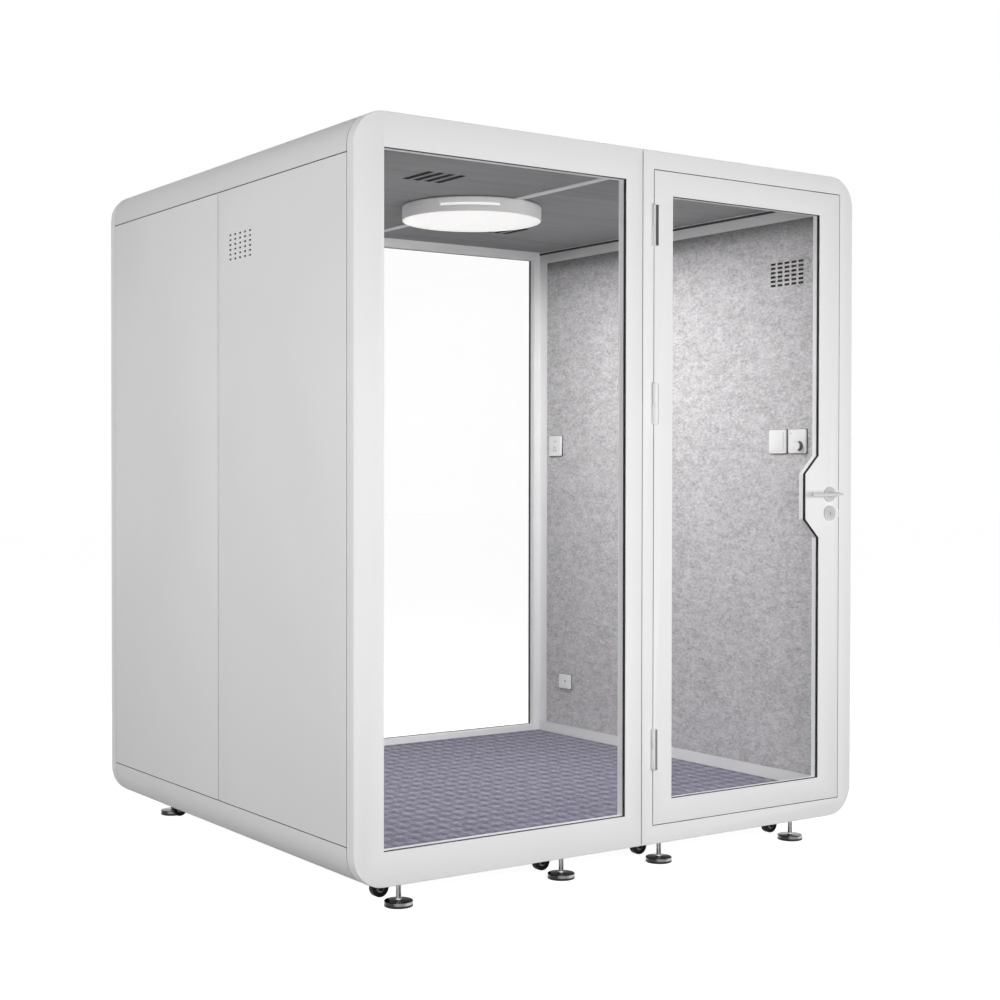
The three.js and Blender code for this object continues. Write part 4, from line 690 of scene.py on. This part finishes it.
place("carpet_pile", finished_mesh("carpet_pile", bm, carpet_yarn, 60), "shell", ["carpet"])

# Glazing: clear toughened panes with polished edges, set in the ring frames and the door leaf.
# Black wedge gaskets on both faces hold each pane, so a thin black line frames the glass.


def clear_glass(name):
    """Float glass with a clear coat that cuts its mirroring, so that it shows the dark cabin plainly.
    It lets the lamps through, and faint drifts of dust film vary its gloss."""
    made, tree, shader = new_material(name, Base_Color=linear("#ffffff"), IOR=1.25)
    shader.inputs["Transmission Weight"].default_value = 1.0
    spot = add(tree, "ShaderNodeTexCoord")
    film = add(tree, "ShaderNodeTexNoise", {"Scale": 1 / (300 * MM), "Detail": 3.0}, {"Vector": (spot, "Object")})
    gloss = add(tree, "ShaderNodeMapRange", {"To Min": 0.0, "To Max": 0.012}, {"Value": (film, "Fac")})
    tree.links.new(gloss.outputs["Result"], shader.inputs["Roughness"])
    path = add(tree, "ShaderNodeLightPath")
    lamps = add(tree, "ShaderNodeMath", {"operation": "MAXIMUM"}, {0: (path, "Is Shadow Ray"), 1: (path, "Is Diffuse Ray")})
    through = add(tree, "ShaderNodeBsdfTransparent", {"Color": linear("#f9f9f9")})
    mix = add(tree, "ShaderNodeMixShader", links={"Fac": (lamps, "Value"), 1: (shader, "BSDF"), 2: (through, "BSDF")})
    tree.links.new(mix.outputs["Shader"], tree.nodes["Material Output"].inputs["Surface"])
    return made


glass = clear_glass("toughened_glass")
gasket_rubber = moulded("gasket_rubber_dark_grey", "#363637", 0.65, 2)
dress(glass, ["front_glass", "rear_glass_left", "rear_glass_right", "door_glass"])


def gasket(bm, outline, pane, facing):
    """Gaskets on both faces of a pane: each lines the opening's edge and has a tail under the frame."""
    near, far = pane if facing < 0 else pane[::-1]
    for face, out, rise in ((near, facing, 2.4), (far, -facing, 2.0)):
        loop_strip(bm, outline, [(0.05, face + out * rise), (0.7, face + out * (rise - 0.3)), (0.9, face + out * 0.05),
                                 (-8, face + out * 0.05), (-8, face + out * 1.9), (0.05, face + out * 1.9)])


BITE = 10
bm = bmesh.new()
for name, facing in (("front_glass", -1), ("rear_glass_left", 1), ("rear_glass_right", 1)):
    low, high = [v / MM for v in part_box(name)]
    xs, zs = (low.x + BITE, high.x - BITE), (low.z + BITE, high.z - BITE)
    outline = [(xs[0], zs[0]), (xs[1], zs[0]), (xs[1], zs[1]), (xs[0], zs[1])]
    gasket(bm, outline, (low.y, high.y), facing)
place("pane_gaskets", finished_mesh("pane_gaskets", bm, gasket_rubber), "shell")

# Door leaf: an aluminium frame round one pane, widened at the lock, coated like the rings.
# Its own gasket holds the glass; flat black seals line its hinge edge and the other jambs of the ring.
dress(white_powder, ["door_frame"], 1.2)
low, high = [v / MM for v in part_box("door_glass")]
LOCK_Z, LOCK_FLAT, LOCK_BULGE = 1194, 78, 63
x0, x1, z0, z1 = low.x + BITE, high.x - BITE, low.z + BITE, high.z - BITE
leaf_opening = [(x0, z0), (x1, z0), (x1, LOCK_Z - LOCK_FLAT - LOCK_BULGE), (x1 - LOCK_BULGE, LOCK_Z - LOCK_FLAT),
                (x1 - LOCK_BULGE, LOCK_Z + LOCK_FLAT), (x1, LOCK_Z + LOCK_FLAT + LOCK_BULGE), (x1, z1), (x0, z1)]
bm = bmesh.new()
gasket(bm, leaf_opening, (low.y, high.y), -1)
place("door_gasket", finished_mesh("door_gasket", bm, gasket_rubber), "door")
LEAF_X, LEAF_Z, SEAL_Y, SEAL, GAP = (99.5, 935.5), (146.5, 2238.5), (ring_low.y + 0.8, ring_low.y + 26), 0.6, 2.5
bm = bmesh.new()
bar(bm, (LEAF_X[0] - SEAL, SEAL_Y[0], LEAF_Z[0] + 2), (LEAF_X[0], SEAL_Y[1], LEAF_Z[1] - 2), 0.2)
place("door_edge_seal", finished_mesh("door_edge_seal", bm, black_rubber), "door")
bm = bmesh.new()
for z in (LEAF_Z[0] - GAP, LEAF_Z[1] + GAP - SEAL):
    bar(bm, (LEAF_X[0] - 1, SEAL_Y[0], z), (LEAF_X[1] + GAP, SEAL_Y[1], z + SEAL), 0.2)
for zs in ((LEAF_Z[0] - GAP, 1124), (1150, 1189), (1215, LEAF_Z[1] + GAP)):
    bar(bm, (LEAF_X[1] + GAP - SEAL, SEAL_Y[0], zs[0]), (LEAF_X[1] + GAP, SEAL_Y[1], zs[1]), 0.2)
place("jamb_seals", finished_mesh("jamb_seals", bm, black_rubber), "shell")

# Hinges: three lift-off hinges with coated barrels, the pins in the lower halves fixed to the ring.
# Turned caps close the barrels; grey strips round their leaf side are painted shade, darkest on the upper hinge.
dress(white_powder, ["hinge_upper", "hinge_middle", "hinge_lower"], 0.5)
# Painted shade for the strips on the barrels' leaf side: deep on the upper hinge, soft on the others.
hinge_deep_shade = moulded("hinge_deep_painted_shade", "#4e4d4e", 0.55, 2)
hinge_soft_shade = moulded("hinge_soft_painted_shade", "#818081", 0.55, 2)
HINGE_SHADES = {"hinge_upper": (hinge_deep_shade, -134, -72, "shell"), "hinge_middle": (hinge_soft_shade, -52, 0, "door"),
           "hinge_lower": (hinge_soft_shade, -118, -72, "shell")}
SHADE_R, SHADE_STEPS, BARREL_R, BARREL_HALF = (9.15, 9.75), 14, 9, 65.5
for name, (nylon, start, stop, body) in HINGE_SHADES.items():
    low, high = [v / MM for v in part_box(name)]
    axis = (high.x - BARREL_R, low.y + BARREL_R)
    cap = [(0, 2.2), (3, 2.0), (BARREL_R - 2.2, 1.2), (BARREL_R - 0.6, 0.2), (BARREL_R - 0.5, 0), (0, 0)]
    bm = bmesh.new()
    turn(bm, [(r, -h) for r, h in cap], 28, Matrix.Translation(Vector((*axis, low.z)) * MM))
    place(name + "_lower_cap", finished_mesh(name + "_lower_cap", bm, white_powder), "shell")
    bm = bmesh.new()
    turn(bm, cap, 28, Matrix.Translation(Vector((*axis, low.z + 2 * BARREL_HALF)) * MM))
    place(name + "_upper_cap", finished_mesh(name + "_upper_cap", bm, white_powder), "door")
    bm = bmesh.new()
    angles = [math.radians(start + (stop - start) * i / SHADE_STEPS) for i in range(SHADE_STEPS + 1)]
    arc = [(r, a) for r, row in zip(SHADE_R, (angles, angles[::-1])) for a in row]
    ends = [[bm.verts.new(Vector((axis[0] + r * math.cos(a), axis[1] + r * math.sin(a), z)) * MM) for r, a in arc]
            for z in (low.z + 1, low.z + 2 * BARREL_HALF - 1)]
    for i in range(len(arc)):
        j = (i + 1) % len(arc)
        bm.faces.new((ends[0][i], ends[0][j], ends[1][j], ends[1][i]))
    for end in ends:
        for i in range(SHADE_STEPS):
            bm.faces.new((end[i], end[i + 1], end[-2 - i], end[-1 - i]))
    place(name + "_shade_strip", finished_mesh(name + "_shade_strip", bm, nylon), body)

# Lock: two levers on one spindle draw the latch, and a cylinder with a thumb turn inside throws the bolt.
# Satin nickel on zinc castings for what the hand meets, plain steel for the bolts.
satin_nickel = metal("satin_nickel", "#c9c9c8", 0.34, 5, (0.15, 1, 1))
bolt_steel = metal("bolt_steel", "#9a9b9d", 0.3, 4)
dress(bolt_steel, ["latch_bolt", "deadbolt"], 0.5)
low, high = [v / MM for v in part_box("lever_set")]
SPINDLE_X, LEVER_Z, CYLINDER_Z = 889.5, 1202, 1137
LEAF_Y = (ring_low.y, ring_low.y + 36)
STANDOFF, GRIP_R, GRIP_TIP, GRIP_HEEL = 48, 5, 129, 18


def outward(face, facing, z):
    """Matrix that turns a profile's Z out of the leaf at the spindle line."""
    return Matrix.Translation(Vector((SPINDLE_X, face, z)) * MM) @ Matrix.Rotation(-facing * math.pi / 2, 4, "X")


def rose(bm, face, facing, z, index=0):
    """A round cover with a softly turned edge and a fine shadow ring at its middle."""
    profile = [(0, 0.3), (26, 0.3), (26, 5.5), (25.6, 6.8), (24.6, 7.7), (23.5, 8), (11.5, 8), (11.2, 7.2), (10.4, 7.2), (10.2, 8), (0, 8)]
    turn(bm, profile, 48, outward(face, facing, z), index)


bm = bmesh.new()
for face, facing in ((LEAF_Y[0], -1), (LEAF_Y[1], 1)):
    rose(bm, face, facing, LEVER_Z)
    neck = [(0, 6), (10, 6), (9.2, 8.5), (7.6, 11), (7, 14), (7, STANDOFF), (0, STANDOFF)]
    turn(bm, neck, 28, outward(face, facing, LEVER_Z))
    tip = [(GRIP_R - 3 + 3 * math.cos(a), 3 * math.sin(a)) for a in map(math.radians, (90, 60, 30, 0))]
    grip = [(0, -GRIP_HEEL)] + [(r, -GRIP_HEEL + 3 - h) for r, h in tip] + [(r, GRIP_TIP - 3 + h) for r, h in reversed(tip)] + [(0, GRIP_TIP)]
    lie = Matrix.Translation(Vector((SPINDLE_X, face + facing * STANDOFF, LEVER_Z)) * MM) @ Matrix.Rotation(-math.pi / 2, 4, "Y")
    turn(bm, grip, 28, lie)
turn(bm, [(0, 0), (5, 0), (5, 36), (0, 36)], 16, outward(LEAF_Y[0], 1, LEVER_Z))
place("lever_handles", finished_mesh("lever_handles", bm, satin_nickel), "lever", ["lever_set"])

bm = bmesh.new()
for face, facing in ((LEAF_Y[0], -1), (LEAF_Y[1], 1)):
    rose(bm, face, facing, CYLINDER_Z)
turn(bm, [(0, 0), (5, 0), (5, 36), (0, 36)], 16, outward(LEAF_Y[0], 1, CYLINDER_Z))
# A black slit on the cylinder's face: painted shade in the keyway.
bar(bm, (SPINDLE_X - 1.1, LEAF_Y[0] - 8.15, CYLINDER_Z - 6), (SPINDLE_X + 1.1, LEAF_Y[0] - 7.9, CYLINDER_Z + 4), 0, 1)
wing = []
for i in range(24):
    a = 2 * math.pi * i / 24
    wing.append((5 * math.cos(a), 5 * math.sin(a) + math.copysign(11, math.sin(a)) if abs(math.sin(a)) > 1e-6 else 0))
thumb = []
for y, shrink in ((6, 1), (24, 1), (25.4, 0.9), (26, 0.72)):
    thumb.append([bm.verts.new(Vector((SPINDLE_X + x * shrink, LEAF_Y[1] + y, CYLINDER_Z + z * (1 - (1 - shrink) * 0.4))) * MM) for x, z in wing])
for a, b in zip(thumb, thumb[1:]):
    for i in range(24):
        j = (i + 1) % 24
        bm.faces.new((a[i], a[j], b[j], b[i]))
bm.faces.new(thumb[-1])
bm.faces.new(thumb[0])
place("lock_barrel", finished_mesh("lock_barrel", bm, [satin_nickel, recess_shade]), "cylinder", ["lock_cylinder"])

# Studio: a pale floor, soft lamps in front and at the left, the cabin's own lamp and the photo's camera.
# The white surround shows to the camera and in reflections, and lights the pod more softly than it looks.
camera_data = bpy.data.cameras.new("camera")
camera = bpy.data.objects.new("camera", camera_data)
bpy.context.scene.collection.objects.link(camera)
bpy.context.scene.camera = camera
camera_data.sensor_width = 36
camera_data.lens = 59.84
camera_data.clip_end = 100
camera.location = (-3.3339, -4.9467, 1.259)
camera.rotation_mode = "QUATERNION"
aim = Matrix.Rotation(math.radians(-34.834), 3, "Z") @ Matrix.Rotation(math.radians(90 - 0.782), 3, "X")
camera.rotation_quaternion = aim.to_quaternion() @ Quaternion((0, 0, 1), math.radians(0.078))

world = bpy.data.worlds.new("studio")
bpy.context.scene.world = world
world.use_nodes = True
sky = world.node_tree


def seen_rays(tree):
    """A node that is 1 for rays that show a surface: camera, glossy and transmission rays."""
    path = add(tree, "ShaderNodeLightPath")
    near = add(tree, "ShaderNodeMath", {"operation": "MAXIMUM"}, {0: (path, "Is Camera Ray"), 1: (path, "Is Glossy Ray")})
    return add(tree, "ShaderNodeMath", {"operation": "MAXIMUM"}, {0: (near, "Value"), 1: (path, "Is Transmission Ray")})


way = add(sky, "ShaderNodeTexCoord")
rise = add(sky, "ShaderNodeSeparateXYZ", links={"Vector": (way, "Generated")})
dome = add(sky, "ShaderNodeMapRange", {"To Min": 0.33, "To Max": 0.06}, {"Value": (rise, "Z")})
level = add(sky, "ShaderNodeMapRange", {"To Max": 1.0}, {"Value": (seen_rays(sky), "Value"), "To Min": (dome, "Result")})
backdrop = sky.nodes["Background"]
backdrop.inputs["Color"].default_value = (1, 1, 1, 1)
sky.links.new(level.outputs["Result"], backdrop.inputs["Strength"])

bm = bmesh.new()
bmesh.ops.create_grid(bm, x_segments=1, y_segments=1, size=40)
pale_floor, tree, shader = new_material("studio_floor", Base_Color=linear("#404040"), Roughness=0.9)
lift = add(tree, "ShaderNodeEmission", {"Color": (1, 1, 1, 1), "Strength": 0.92})
lit = add(tree, "ShaderNodeBsdfDiffuse", {"Color": (0.5, 0.5, 0.5, 1)})
both = add(tree, "ShaderNodeAddShader", links={0: (lift, "Emission"), 1: (lit, "BSDF")})
mix = add(tree, "ShaderNodeMixShader", links={"Fac": (seen_rays(tree), "Value"), 1: (shader, "BSDF"), 2: (both, "Shader")})
tree.links.new(mix.outputs["Shader"], tree.nodes["Material Output"].inputs["Surface"])
floor = bpy.data.objects.new("studio_floor", finished_mesh("studio_floor", bm, pale_floor))
bpy.context.scene.collection.objects.link(floor)


def lamp(name, kind, at, target, power, **settings):
    """A lamp that points at a target; only what it lights is seen, not the lamp."""
    data = bpy.data.lights.new(name, kind)
    data.energy = power
    for key, value in settings.items():
        setattr(data, key, value)
    made = bpy.data.objects.new(name, data)
    bpy.context.scene.collection.objects.link(made)
    made.location = at
    made.rotation_mode = "QUATERNION"
    made.rotation_quaternion = (Vector(target) - Vector(at)).to_track_quat("-Z", "Y")
    made.visible_camera = made.visible_glossy = made.visible_transmission = False


lamp("front_softbox", "AREA", (0, -4.1, 1.25), (0, 0, 1.25), 115, shape="RECTANGLE", size=5.0, size_y=1.4)
lamp("left_softbox", "AREA", (-5.0, -0.6, 1.7), (0, -0.6, 1.5), 92, shape="RECTANGLE", size=3.0, size_y=1.6)
lamp("right_softbox", "AREA", (4.4, 0.3, 3.8), (0.8, 0.1, 1.4), 115, shape="RECTANGLE", size=2.0, size_y=2.0)
lamp("rear_softbox", "AREA", (0, 4.2, 1.3), (0, 0, 1.2), 10.5, shape="RECTANGLE", size=2.4, size_y=2.2,
     spread=math.radians(38))
low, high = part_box("lamp_diffuser")
under = ((low.x + high.x) / 2, (low.y + high.y) / 2, low.z - 0.004)
lamp("cabin_lamp", "AREA", under, (under[0], under[1], 0), 17.5, shape="DISK", size=0.46)
lamp("drum_glow", "SPOT", under, (under[0], under[1], 0), 20, spot_size=math.pi, spot_blend=0.2, shadow_soft_size=0.02)

scene = bpy.context.scene
scene.view_settings.view_transform = "Standard"
